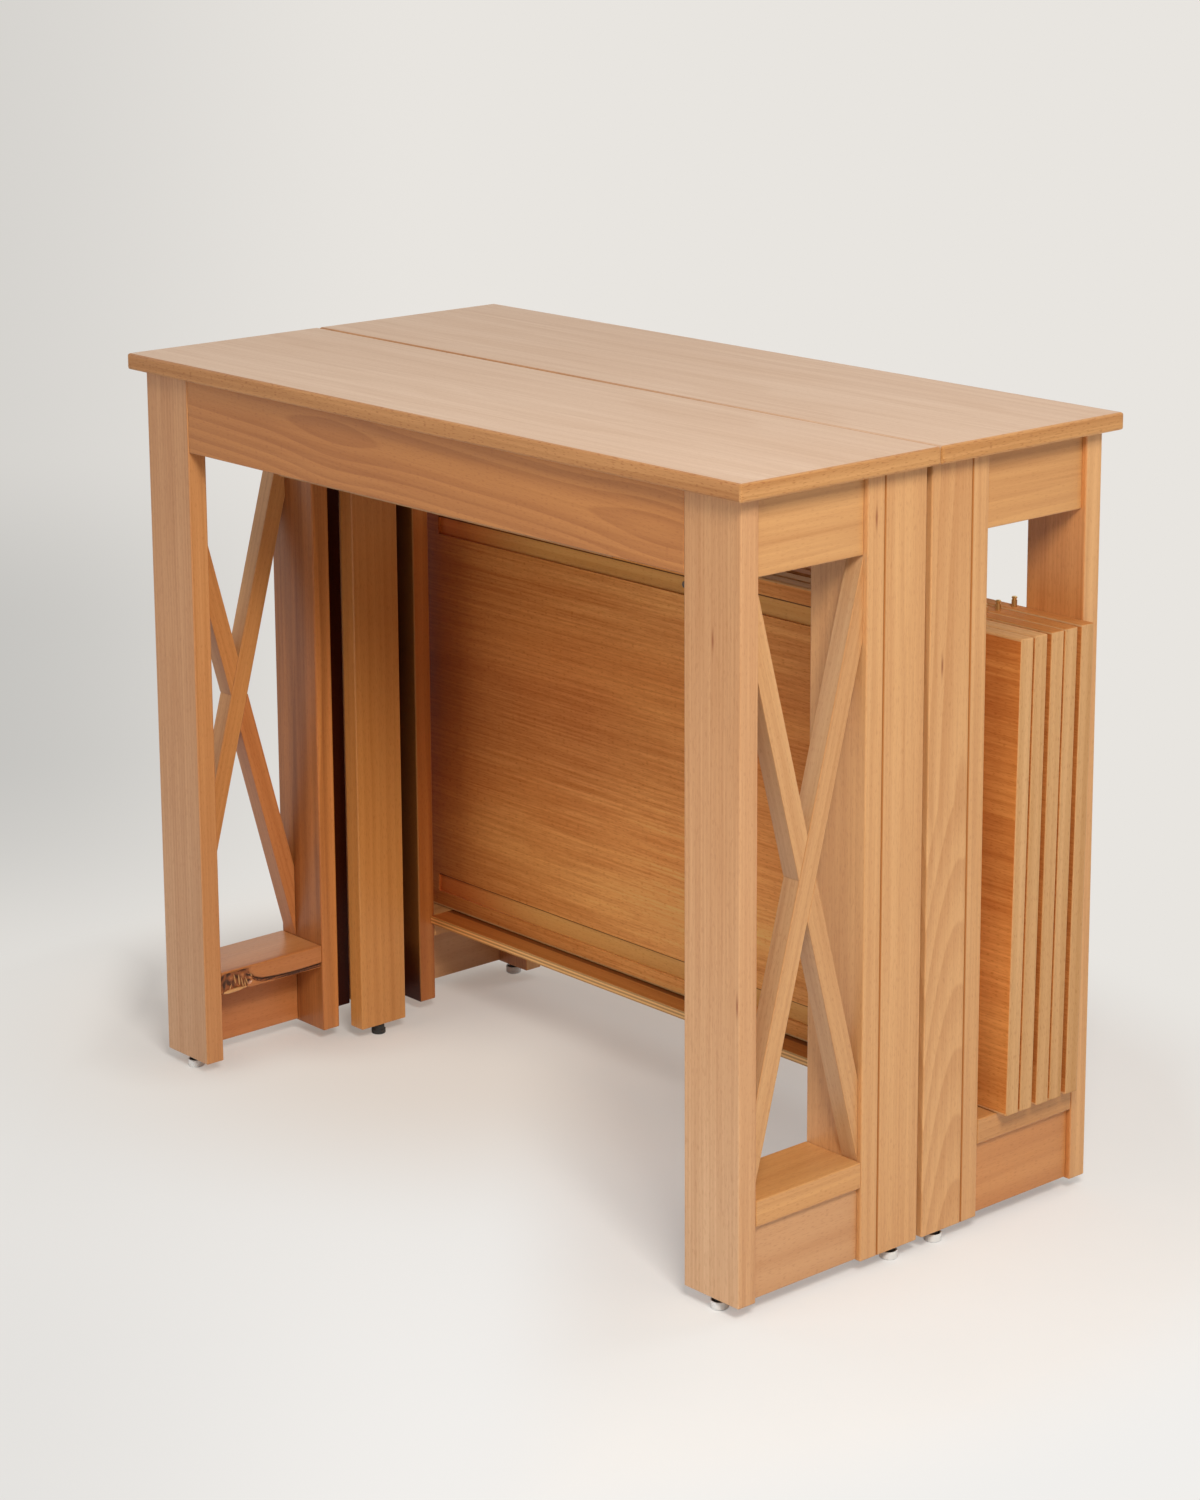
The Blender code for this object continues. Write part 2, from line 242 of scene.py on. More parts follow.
cove = times(tree, step(tree, depth, *COVE_RISE), step(tree, depth, *COVE_FALL), left)
print("floor depth runs along", [round(value, 3) for value in AWAY])

# %% Paper and glow
BACKDROP = (0.808, 0.783, 0.745, 1.0)
FLOOR_PAPER = ((0.870, 0.863, 0.851, 1.0), (0.845, 0.837, 0.823, 1.0))
MOTTLE_CELLS = (9.0, 9.0, 9.0)
# Painted shade: the paper is greyed on the left.
PAPER_PAINTED_SHADE = (0.600, 0.596, 0.585, 1.0)
PAPER_PAINTED_SHADE_SHARE = 0.18
# Painted light: the glow is brighter towards the camera.
NEAR_PAINTED_LIGHT = (0.880, 0.864, 0.840, 1.0)
NEAR_FADE = (0.35, -0.65)
# Painted shade of the sweep: the glow is greyed on the left, and more in the cove.
LEFT_PAINTED_SHADE = (0.500, 0.492, 0.472, 1.0)
LEFT_PAINTED_SHADE_SHARE = 0.17
BEHIND_FADE = (0.3, 1.0)
BEHIND_SHARE = 0.31
BEFORE_FADE = (-0.2, -0.6)
BEFORE_SHARE = 0.10
COVE_PAINTED_SHADE = (0.450, 0.447, 0.430, 1.0)
COVE_PAINTED_SHADE_SHARE = 0.50
# Painted shadow: the glow turns darker and warmer under the table.
UNDER_TABLE_PAINTED_SHADOW = (0.742, 0.652, 0.572, 1.0)
UNDER_MIDDLE = (-0.30, 0.10, 0.0)
UNDER_FADE = (0.60, 0.15)
mottle = noise(tree, place, MOTTLE_CELLS, 4.0).outputs[0]
paper_colour = mix(tree, mottle, *FLOOR_PAPER)
paper_colour = mix(tree, times(tree, left, PAPER_PAINTED_SHADE_SHARE), paper_colour, PAPER_PAINTED_SHADE)
paper = add(tree, "BsdfDiffuse", {"Color": paper_colour})
backdrop = mix(tree, step(tree, depth, *NEAR_FADE), BACKDROP, NEAR_PAINTED_LIGHT)
dim = plus_share(tree, LEFT_PAINTED_SHADE_SHARE, step(tree, depth, *BEHIND_FADE), BEHIND_SHARE)
dim = plus_share(tree, dim, step(tree, depth, *BEFORE_FADE), BEFORE_SHARE)
backdrop = mix(tree, times(tree, left, dim), backdrop, LEFT_PAINTED_SHADE)
backdrop = mix(tree, times(tree, cove, COVE_PAINTED_SHADE_SHARE), backdrop, COVE_PAINTED_SHADE)
under = step(tree, far_from(tree, place, UNDER_MIDDLE), *UNDER_FADE)
backdrop = mix(tree, under, backdrop, UNDER_TABLE_PAINTED_SHADOW)
glow = add(tree, "Emission", {"Color": backdrop, "Strength": 1.0})
print("paper and glow have", len(tree.nodes), "nodes")


# %% Fade from paper to glow
def seen_rays(tree):
    """Give 1 for rays that show the studio: to the camera, or by way of gloss or glass."""
    rays = add(tree, "LightPath").outputs
    seen = maths(tree, "MAXIMUM", rays["Is Camera Ray"], rays["Is Glossy Ray"])
    return maths(tree, "MAXIMUM", seen, rays["Is Transmission Ray"])


FADE_MIDDLE = (0.0, -0.10, 0.0)
FADE_RING = (0.55, 0.85)
OPEN_ACROSS = (0.03, -0.12)
OPEN_DEPTH = (0.36, 0.12)
FRONT_FOOT = (-0.44, -0.20, 0.0)
FRONT_FOOT_RING = (0.02, 0.13)
POST_FEET = (-0.40, -0.03, 0.0)
POST_FEET_RING = (0.04, 0.14)
OPEN_SHARES = (0.36, 0.52)
LEFT_BESIDE = (-0.45, -0.58)
RIGHT_BESIDE = (0.50, 0.68)
BESIDE_SHARE = 0.90
far = step(tree, far_from(tree, place, FADE_MIDDLE), *FADE_RING)
open_floor = times(tree, step(tree, across, *OPEN_ACROSS), step(tree, depth, *OPEN_DEPTH))
by_foot = step(tree, far_from(tree, place, FRONT_FOOT), *FRONT_FOOT_RING)
by_posts = step(tree, far_from(tree, place, POST_FEET), *POST_FEET_RING)
open_floor = times(tree, open_floor, by_foot, by_posts)
far = maths(tree, "MAXIMUM", far, plus_share(tree, OPEN_SHARES[0], open_floor, OPEN_SHARES[1]))
beside = maths(tree, "MAXIMUM", step(tree, across, *LEFT_BESIDE), step(tree, across, *RIGHT_BESIDE))
fade = maths(tree, "MAXIMUM", far, times(tree, beside, BESIDE_SHARE))
fade = times(tree, fade, seen_rays(tree))
blend = add(tree, "MixShader", {0: fade, 1: paper.outputs[0], 2: glow.outputs[0]})
add(tree, "OutputMaterial", {"Surface": blend.outputs[0]})
print("floor has", len(tree.nodes), "nodes")

# %% [markdown]
# ## Light
#
# A studio lamp shines through a wide cloth, and an area light does the same. Spots would be sharper than the
# shadows in the photograph. The main light stands on the right and a wider one hangs overhead. Weaker ones in
# front, behind and on the left keep the other sides readable, and a low one is the light that the floor sends
# back. The world adds a little fill, and shows as the backdrop.

# %% World
WORLD_FILL = (1.0, 0.985, 0.965, 1.0)
WORLD_STRENGTH = 0.10
world = bpy.data.worlds.new("studio")
scene.world = world
world.use_nodes = True
tree = world.node_tree
tree.nodes.clear()
fill = add(tree, "Background", {"Color": WORLD_FILL, "Strength": WORLD_STRENGTH})
wall = add(tree, "Background", {"Color": BACKDROP, "Strength": 1.0})
blend = add(tree, "MixShader", {0: seen_rays(tree), 1: fill.outputs[0], 2: wall.outputs[0]})
add(tree, "OutputWorld", {"Surface": blend.outputs[0]})
print("world fill", WORLD_STRENGTH)

# %% Soft lights
LIGHT_AIM = Vector((0.0, 0.0, 0.4))
LAMP_WHITE = (1.0, 0.985, 0.965)


def soft_light(name, place, size, power, colour=LAMP_WHITE):
    """Hang a square soft light that faces the middle of the table."""
    data = bpy.data.lights.new(name, "AREA")
    data.shape = "SQUARE"
    data.size = size
    data.energy = power
    data.color = colour
    lamp = bpy.data.objects.new(name, data)
    lamp.location = place
    lamp.rotation_euler = (LIGHT_AIM - lamp.location).to_track_quat("-Z", "Y").to_euler()
    lamp.visible_camera = False
    scene.collection.objects.link(lamp)
    print(name, power, "W")


soft_light("right_light", (2.1, -1.2, 2.3), 0.9, 67.0, (1.0, 0.955, 0.895))
soft_light("top_light", (0.4, 0.5, 3.4), 3.6, 29.5)
soft_light("front_light", (-0.8, -3.3, 1.9), 2.0, 23.0, (1.0, 0.985, 0.970))
soft_light("back_light", (0.8, 3.2, 1.7), 1.8, 26.0)
soft_light("left_light", (-3.2, -0.6, 1.7), 1.8, 12.0)
soft_light("floor_bounce", (0.7, -1.1, 0.04), 1.2, 2.2, (1.0, 0.975, 0.945))

# %% [markdown]
# ## Solid beech
#
# Beech has soft growth rings, fine lengthwise fibres, slow changes of tone and short dark flecks. One could
# paint these on each face, but a board is cut from a trunk, so the rings here are real tubes round a heart
# line. Each board puts that line in its own place, and its faces then show straight lines or ovals as a sawn
# board does. The cells of each noise are long along the grain and narrow across it.

# %% Beech rings and fibres
GRAIN_INPUTS = (
    ("Vector", "Vector", None),
    ("Pale", "Color", (0.70, 0.37, 0.15, 1.0)),
    ("Dark", "Color", (0.52, 0.24, 0.08, 1.0)),
    ("Ring Width", "Float", 0.006),
    ("Ring Strength", "Float", 0.5),
    ("Wander", "Float", 0.01),
    ("Bulge", "Float", 0.0),
    ("Fibre", "Float", 0.4),
    ("Fleck", "Float", 0.3),
    ("Streak", "Float", 1.2),
)
GRAIN_OUTPUTS = (("Color", "Color"), ("Roughness", "Float"), ("Height", "Float"))
SWAY_CELLS = (2.6, 11.0, 11.0)
FIBRE_CELLS = (7.0, 380.0, 380.0)
TONE_CELLS = (1.7, 9.0, 9.0)
STREAK_CELLS = (1.3, 95.0, 95.0)
LATE_RING = 0.90
LATE_SHARE = 0.45
GRAIN, given, result = new_group("beech_grain", GRAIN_INPUTS, GRAIN_OUTPUTS)
along = given["Vector"]
sway = noise(GRAIN, along, SWAY_CELLS, 2.0).outputs["Color"]
sway = vectors(GRAIN, "SUBTRACT", sway, (0.5, 0.5, 0.5)).outputs[0]
sway = add(GRAIN, "VectorMath", {0: sway, "Scale": given["Wander"]}, operation="SCALE").outputs[0]
bent = vectors(GRAIN, "ADD", along, sway).outputs[0]
bent = vectors(GRAIN, "MULTIPLY", bent, (0.0, 1.0, 1.0)).outputs[0]
radius = vectors(GRAIN, "LENGTH", bent).outputs["Value"]
radius = maths(GRAIN, "SUBTRACT", radius, given["Bulge"])
ring = maths(GRAIN, "FRACT", maths(GRAIN, "DIVIDE", radius, given["Ring Width"]))
late_wood = times(GRAIN, step(GRAIN, ring, 0.0, LATE_RING), step(GRAIN, ring, 1.0, LATE_RING))
fibres = noise(GRAIN, along, FIBRE_CELLS, 3.0).outputs[0]
streaks = noise(GRAIN, along, STREAK_CELLS, 3.0).outputs[0]
shade = times(GRAIN, maths(GRAIN, "SUBTRACT", late_wood, LATE_SHARE), given["Ring Strength"])
fine = times(GRAIN, maths(GRAIN, "SUBTRACT", fibres, 0.5), given["Fibre"])
coarse = times(GRAIN, maths(GRAIN, "SUBTRACT", streaks, 0.5), given["Streak"])
for part in (fine, coarse, noise(GRAIN, along, TONE_CELLS, 1.0).outputs[0]):
    shade = maths(GRAIN, "ADD", shade, part)
print("rings and fibres have", len(GRAIN.nodes), "nodes")

# %% Beech colour and relief
FLECK_CELLS = (170.0, 1000.0, 1000.0)
FLECK_FADE = (0.59, 0.73)
FLECK_TONE = (0.68, 0.52, 0.38, 1.0)
SATIN = 0.30
FIBRE_ROUGHNESS = 0.14
shade = add(GRAIN, "MapRange", {"Value": shade, "From Min": 0.0, "From Max": 1.0}).outputs[0]
flecks = step(GRAIN, noise(GRAIN, along, FLECK_CELLS, 0.0).outputs[0], *FLECK_FADE)
flecks = times(GRAIN, flecks, given["Fleck"])
wood = tint(GRAIN, flecks, mix(GRAIN, shade, given["Pale"], given["Dark"]), FLECK_TONE)
GRAIN.links.new(wood, result["Color"])
GRAIN.links.new(plus_share(GRAIN, SATIN, fibres, FIBRE_ROUGHNESS), result["Roughness"])
GRAIN.links.new(maths(GRAIN, "SUBTRACT", fibres, flecks), result["Height"])
print("grain group has", len(GRAIN.nodes), "nodes")

# %% [markdown]
# ## One material for each board
#
# A single wood for all boards would run on from one into the next. Here every board gets its own heart line,
# tone and figure: the legs are straight grained, the apron shows ovals, and a post by the left shelf is
# streaky. Some single faces are also lighter or darker than their board, and that is painted light and
# painted shade.

# %% Wood tones and figures
TONES = {
    "beech": ((0.705, 0.385, 0.160, 1.0), (0.575, 0.275, 0.100, 1.0)),
    "pale": ((0.755, 0.420, 0.176, 1.0), (0.620, 0.302, 0.111, 1.0)),
    "pink": ((0.670, 0.370, 0.175, 1.0), (0.545, 0.265, 0.110, 1.0)),
    "honey": ((0.680, 0.350, 0.125, 1.0), (0.520, 0.230, 0.072, 1.0)),
    "straw": ((0.715, 0.392, 0.153, 1.0), (0.545, 0.258, 0.088, 1.0)),
    "amber": ((0.618, 0.278, 0.075, 1.0), (0.474, 0.182, 0.040, 1.0)),
    "rose": ((0.525, 0.212, 0.054, 1.0), (0.376, 0.128, 0.027, 1.0)),
    "cherry": ((0.600, 0.215, 0.051, 1.0), (0.430, 0.130, 0.026, 1.0)),
    "russet": ((0.650, 0.290, 0.095, 1.0), (0.520, 0.200, 0.056, 1.0)),
    "brick": ((0.600, 0.232, 0.074, 1.0), (0.480, 0.160, 0.044, 1.0)),
    "copper": ((0.665, 0.312, 0.104, 1.0), (0.540, 0.222, 0.064, 1.0)),
    "wheat": ((0.650, 0.354, 0.147, 1.0), (0.530, 0.253, 0.092, 1.0)),
    "blush": ((0.643, 0.340, 0.161, 1.0), (0.523, 0.244, 0.101, 1.0)),
    "heart": ((0.660, 0.285, 0.085, 1.0), (0.330, 0.120, 0.030, 1.0)),
}
FIGURE_INPUTS = ("Ring Width", "Ring Strength", "Wander", "Fibre", "Fleck", "Streak")
FIGURES = {
    "leg": (0.0046, 0.30, 0.006, 1.3, 0.25, 1.5),
    "pale_leg": (0.0046, 0.30, 0.006, 1.2, 0.25, 1.5),
    "post": (0.006, 0.20, 0.008, 1.2, 0.25, 1.4),
    "red_post": (0.006, 0.30, 0.008),
    "streaky_post": (0.026, 0.34, 0.040, 0.6),
    "centre_post": (0.008, 0.25, 0.012),
    "cheek": (0.007, 0.25, 0.010, 1.2, 0.25, 1.4),
    "arched_cheek": (0.0082, 0.62, 0.006, 1.0, 0.25, 1.0),
    "apron": (0.0105, 0.54, 0.007, 0.8, 0.3, 0.7),
    "side_apron": (0.009, 0.28, 0.014, 0.9, 0.2),
    "shelf": (0.008, 0.25, 0.012),
    "kick": (0.012, 0.30, 0.016),
    "brace": (0.006, 0.25, 0.008, 1.2, 0.30, 1.4),
}


def cut_of_wood(tree, vector, tone, figure):
    """Place the grain group with the tone and the figure of one piece of wood."""
    inputs = {"Vector": vector, "Pale": TONES[tone][0], "Dark": TONES[tone][1]}
    inputs.update(zip(FIGURE_INPUTS, FIGURES[figure]))
    return add(tree, "Group", inputs, node_tree=GRAIN)


print(len(TONES), "tones and", len(FIGURES), "figures")

# %% Material helpers
LACQUER_BUMP = 0.00012
BUMP_STRENGTH = 0.6
SEED_STEP = 1.37


def plain_material(name):
    """Start a material and return it with its tree, its shader and its object coordinates."""
    material = bpy.data.materials.new(name)
    material.use_nodes = True
    tree = material.node_tree
    return material, tree, tree.nodes["Principled BSDF"], add(tree, "TexCoord").outputs["Object"]


def dress(tree, shader, colour, roughness, height, depth=LACQUER_BUMP):
    """Feed a colour, a roughness and a fine relief to the shader."""
    tree.links.new(colour, shader.inputs["Base Color"])
    tree.links.new(roughness, shader.inputs["Roughness"])
    bump = add(tree, "Bump", {"Height": height, "Strength": BUMP_STRENGTH, "Distance": depth})
    tree.links.new(bump.outputs[0], shader.inputs["Normal"])


def grain_space(tree, place, turn, heart, seed):
    """Turn coordinates so that the grain runs along X and the heart line is at Y = Z = 0."""
    origin = Euler(turn).to_matrix() @ Vector(heart)
    shift = (seed * SEED_STEP - origin.x, -origin.y, -origin.z)
    return add(tree, "Mapping", {"Vector": place, "Location": shift, "Rotation": turn}).outputs[0]


def middle(name):
    """Give the middle of a board."""
    low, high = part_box(name)
    return (low + high) / 2


def wear(name, material):
    """Put a material on a board of the frame."""
    NODES[name].data.materials.clear()
    NODES[name].data.materials.append(material)


print("material helpers ready")

# %% Figures of single boards
HUMP_BASE = 2.718
APRON_OVALS = ((-0.130, 0.068, 0.0062), (0.335, 0.078, 0.0074))
ARCH_TOP = 0.42
ARCH_SLOPE = -0.11
CHEEK_SLOPE = -0.02


def hump(tree, value, centre, width):
    """Give a soft hump that is 1 at its centre."""
    far = maths(tree, "DIVIDE", maths(tree, "SUBTRACT", value, centre), width)
    return maths(tree, "POWER", HUMP_BASE, times(tree, far, far, -1.0))


def apron_ovals(tree, axes):
    """Swell the rings at two places along an apron, which gives its nested ovals."""
    swells = [times(tree, hump(tree, axes["X"], spot, wide), rise) for spot, wide, rise in APRON_OVALS]
    return maths(tree, "ADD", *swells)


def cheek_arches(tree, axes):
    """Taper the rings towards the floor, which gives the arches low on a cheek."""
    low_part = times(tree, maths(tree, "MINIMUM", axes["Z"], ARCH_TOP), ARCH_SLOPE)
    return plus_share(tree, low_part, axes["Z"], CHEEK_SLOPE)


BULGES = {"front_apron": apron_ovals, "back_apron": apron_ovals, "back_cheek_right": cheek_arches}
print("own figure on", ", ".join(BULGES))

# %% Painted light and shade of posts, braces and legs
CENTRE_FOOT_PAINTED_LIGHT = (1.12, 1.17, 1.25, 1.0)
POST_FOOT_FADE = (0.34, 0.06)
CENTRE_HEAD_PAINTED_SHADE = (0.82, 0.74, 0.74, 1.0)
POST_HEAD_FADE = (0.30, 0.62)
BRACE_PAINTED_SHEEN = (0.98, 1.10, 1.35, 1.0)
BRACE_EDGE_DEPTHS = (0.0006, 0.0012)
LEG_FACE = (0.2270, 0.2277)
LEG_FOOT_PAINTED_LIGHT = (1.05, 1.18, 1.40, 1.0)
LEG_FOOT_LIGHT_FADE = (0.45, 0.0)
LEG_TOP_PAINTED_SHADE = (0.91, 0.89, 0.86, 1.0)
LEG_TOP_SHADE_FADE = (0.45, 0.70)


def post_tints(tree, axes, name, colour):
    """Lighten a centre post towards its foot with painted light, and darken it towards its head with painted
    shade.
    """
    colour = tint(tree, step(tree, axes["Z"], *POST_FOOT_FADE), colour, CENTRE_FOOT_PAINTED_LIGHT)
    return tint(tree, step(tree, axes["Z"], *POST_HEAD_FADE), colour, CENTRE_HEAD_PAINTED_SHADE)


def brace_tints(tree, axes, name, colour):
    """Lighten the narrow edges of a brace with a painted sheen."""
    low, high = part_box(name)
    from_middle = apart(tree, axes["X"], (low.x + high.x) / 2)
    within = near_rim(tree, from_middle, (high.x - low.x) / 2, BRACE_EDGE_DEPTHS)
    return tint(tree, within, colour, BRACE_PAINTED_SHEEN)


def leg_tints(tree, axes, name, colour):
    """Lighten the outer face of a leg near the floor with painted light, and darken it near the top with
    painted shade.
    """
    outside = step(tree, maths(tree, "ABSOLUTE", axes["Y"]), *LEG_FACE)
    low_down = times(tree, outside, step(tree, axes["Z"], *LEG_FOOT_LIGHT_FADE))
    colour = tint(tree, low_down, colour, LEG_FOOT_PAINTED_LIGHT)
    high_up = times(tree, outside, step(tree, axes["Z"], *LEG_TOP_SHADE_FADE))
    return tint(tree, high_up, colour, LEG_TOP_PAINTED_SHADE)


KIND_TINTS = {"centre_post": post_tints, "brace": brace_tints, "_leg_": leg_tints}
print("tints for", ", ".join(KIND_TINTS))

# %% [markdown]
# Inside the left end two gaps between the boards are nearly black red, which is painted shade here. A plain
# dark face would stay dark when the table is pulled open, so the painted shade follows cover: an Ambient
# Occlusion node says how much open air a point has, and the shade only shows where that is little.

# %% Knots, and painted light and shade on single faces
KNOT_TONE = (0.300, 0.090, 0.022, 1.0)
KNOT_WIDTH = 0.0013
KNOT_HEIGHT = 0.009
KNOTS = {
    "front_leg_right": (("X", 0.4018, 0.610), ("X", 0.4330, 0.292)),
    "front_post_right": (("Y", -0.0660, 0.698),),
    "back_cheek_right": (("Y", 0.0193, 0.551),),
}
FACE_FADE = (0.0012, 0.0006)
# Painted shade on covered faces, where the Ambient Occlusion node finds little open air.
COVERED_PAINTED_SHADE = (0.110, 0.028, 0.012, 1.0)
COVER_REACH = 0.09
COVER_FADE = (0.74, 0.46)
COVERED_CHEEK_GLOSS = 0.12
COVERED_POST_GLOSS = 0.40
FACE_TINTS = {}


def knots(tree, axes, name, colour):
    """Add the small dark knots of a board."""
    for axis, spot, height in KNOTS.get(name, ()):
        wide = hump(tree, axes[axis], spot, KNOT_WIDTH)
        knot = times(tree, wide, hump(tree, axes["Z"], height, KNOT_HEIGHT))
        colour = mix(tree, knot, colour, KNOT_TONE)
    return colour


def face_tints(tree, axes, name, colour, shader):
    """Paint light or shade on single faces of a board, the shade of covered faces only where they are
    covered.
    """
    for axis, level, tone in FACE_TINTS.get(name, ()):
        on_face = step(tree, apart(tree, axes[axis], level), *FACE_FADE)
        if tone == COVERED_PAINTED_SHADE:
            open_air = add(tree, "AmbientOcclusion", {"Distance": COVER_REACH}).outputs["AO"]
            on_face = times(tree, on_face, step(tree, open_air, *COVER_FADE))
            gloss = COVERED_CHEEK_GLOSS if "cheek" in name else COVERED_POST_GLOSS
            shader.inputs["Specular IOR Level"].default_value = gloss
        colour = tint(tree, on_face, colour, tone)
    return colour


print("knots on", len(KNOTS), "boards")

# %% Board material
GROOVE = (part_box("back_cheek_right")[1].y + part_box("back_post_right")[0].y) / 2
GROOVE_FADE = (0.0018, 0.0011)
GROOVE_TONE = (0.440, 0.165, 0.034, 1.0)


def beech_board(name, turn, heart, seed, tone, figure):
    """Give one board of the frame its own cut of beech."""
    material, tree, shader, place = plain_material("beech_" + name)
    axes = split(tree, place)
    vector = grain_space(tree, place, turn, middle(name) + Vector(heart), seed)
    wood = cut_of_wood(tree, vector, tone, figure)
    if name in BULGES:
        tree.links.new(BULGES[name](tree, axes), wood.inputs["Bulge"])
    colour = wood.outputs["Color"]
    for kind, paint in KIND_TINTS.items():
        if kind in name:
            colour = paint(tree, axes, name, colour)
    colour = knots(tree, axes, name, colour)
    if ("_post_" in name or "_cheek_" in name) and "centre" not in name:
        from_groove = apart(tree, maths(tree, "ABSOLUTE", axes["Y"]), GROOVE)
        colour = mix(tree, step(tree, from_groove, *GROOVE_FADE), colour, GROOVE_TONE)
    colour = face_tints(tree, axes, name, colour, shader)
    dress(tree, shader, colour, wood.outputs["Roughness"], wood.outputs["Height"])
    wear(name, material)


print("grooves at", round(GROOVE, 4))

# %% Boards of the two halves
SIDES = (("left", -1), ("right", 1))
HALVES = (("front", -1), ("back", 1))
TURN = {"X": (0.0, 0.0, 0.0), "Y": (0.0, 0.0, -math.pi / 2), "Z": (0.0, math.pi / 2, 0.0)}
TURN["apron"] = (0.0, -0.046, 0.0)
# Painted shade on the face of a leg towards the other half, and painted light on its face towards the middle.
LEG_PAINTED_SHADE = (0.88, 0.70, 0.54, 1.0)
LEG_PAINTED_LIGHT = (1.06, 0.99, 0.82, 1.0)
BOARDS = {}
for half, h in HALVES:
    for side, s in SIDES:
        end = half + "_%s_" + side
        low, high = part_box(end % "leg")
        inner_y = low.y if h > 0 else high.y
        inner_x = low.x if s > 0 else high.x
        FACE_TINTS[end % "leg"] = (("Y", inner_y, LEG_PAINTED_SHADE), ("X", inner_x, LEG_PAINTED_LIGHT))
        apron_tone = "straw" if h < 0 else "honey"
        BOARDS[end % "leg"] = ("Z", (0.17 * s, 0.06 * h, 0.0), "pink", "leg")
        BOARDS[end % "post"] = ("Z", (0.12 * s, 0.05, 0.0), "beech", "post")
        BOARDS[end % "cheek"] = ("Z", (-0.15 * s, 0.10 * h, 0.0), "beech", "cheek")
        BOARDS[end % "side_apron"] = ("Y", (-0.11 * s, 0.0, 0.05), apron_tone, "side_apron")
        BOARDS[end % "shelf"] = ("Y", (0.03 * s, 0.0, -0.12), "honey", "shelf")
        BOARDS[end % "kick"] = ("Y", (-0.09 * s, 0.0, 0.03), "pink", "kick")
    BOARDS[half + "_apron"] = ("apron", (0.0, -0.002 * h, 0.011), "rose", "apron")
print(len(BOARDS), "boards planned")

# %% Boards with their own wood
# Painted shade on the front face of the front left post, and painted light on its face towards the middle.
POST_SHADE = (0.86, 0.75, 0.68, 1.0)
POST_PAINTED_LIGHT = (1.10, 1.02, 0.97, 1.0)
BOARDS["centre_post_left"] = ("Z", (-0.12, 0.14, 0.0), "amber", "centre_post")
BOARDS["centre_post_right"] = ("Z", (0.12, 0.14, 0.0), "amber", "centre_post")
BOARDS["back_cheek_right"] = ("Z", (-0.040, 0.020, 0.0), "beech", "arched_cheek")
BOARDS["front_post_left"] = ("Z", (0.050, 0.040, 0.0), "heart", "streaky_post")
BOARDS["back_post_left"] = ("Z", (-0.12, 0.05, 0.0), "cherry", "red_post")
BOARDS["back_leg_right"] = ("Z", (0.17, 0.06, 0.0), "pale", "pale_leg")
BOARDS["front_kick_left"] = ("Y", (0.09, 0.0, 0.03), "brick", "kick")
BOARDS["back_kick_right"] = ("Y", (-0.09, 0.0, 0.03), "russet", "kick")
BOARDS["front_leg_left"] = ("Z", (-0.17, -0.06, 0.0), "blush", "leg")
FACE_TINTS["front_cheek_left"] = (("X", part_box("front_cheek_left")[1].x, COVERED_PAINTED_SHADE),)
FACE_TINTS["back_cheek_left"] = (("X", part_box("back_cheek_left")[1].x, COVERED_PAINTED_SHADE),)
FACE_TINTS["back_post_left"] = (("Y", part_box("back_post_left")[0].y, COVERED_PAINTED_SHADE),)
low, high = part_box("front_post_left")
FACE_TINTS["front_post_left"] = (("Y", low.y, POST_SHADE), ("X", high.x, POST_PAINTED_LIGHT))
for seed, (name, (axis, heart, tone, figure)) in enumerate(BOARDS.items()):
    beech_board(name, TURN[axis], heart, seed, tone, figure)
print("beech on", len(BOARDS), "boards")

# %% Braces
BRACE_TILT = math.radians(15.2)
BRACE_SEED = 40
BRACE_PARTS = (("full", 1, "copper"), ("upper", -1, "russet"), ("lower", -1, "brick"))
for side, s in SIDES:
    for count, (part, lean, left_tone) in enumerate(BRACE_PARTS):
        name = "brace_%s_%s" % (part, side)
        along_brace = (lean * BRACE_TILT, math.pi / 2, 0.0)
        tone = left_tone if s < 0 else "wheat"
        beech_board(name, along_brace, (0.05 * s, 0.12, 0.0), BRACE_SEED + count * 2 + s, tone, "brace")
print("braces tilt", round(math.degrees(BRACE_TILT), 1))

# %% [markdown]
# ## Tops: veneer with solid lippings
#
# Each top is a veneered board with a band of solid wood round its edges. A band could be separate strips, but
# its joints don't show in the photograph, so a mask by distance from the edge changes the wood in place. At
# the seam the band is faint towards the right, and round holes there take the pins of a leaf.

# %% Pin holes
PIN_X = 0.359
PIN_RADIUS = 0.0027
# Painted shade: the pin holes are not cut, but painted as near black discs.
HOLE_PAINTED_SHADE = (0.030, 0.016, 0.008, 1.0)


def pin_hole(tree, to_end, off_middle):
    """Give 1 where a round hole for the brass pins of the next board is painted as shade."""
    off_pin = maths(tree, "SUBTRACT", to_end, PIN_X)
    spot = add(tree, "CombineXYZ", {0: off_pin, 1: off_middle}).outputs[0]
    return step(tree, far_from(tree, spot, (0.0, 0.0, 0.0)), PIN_RADIUS + 0.0004, PIN_RADIUS + 0.0001)


print("pin holes at", PIN_X)

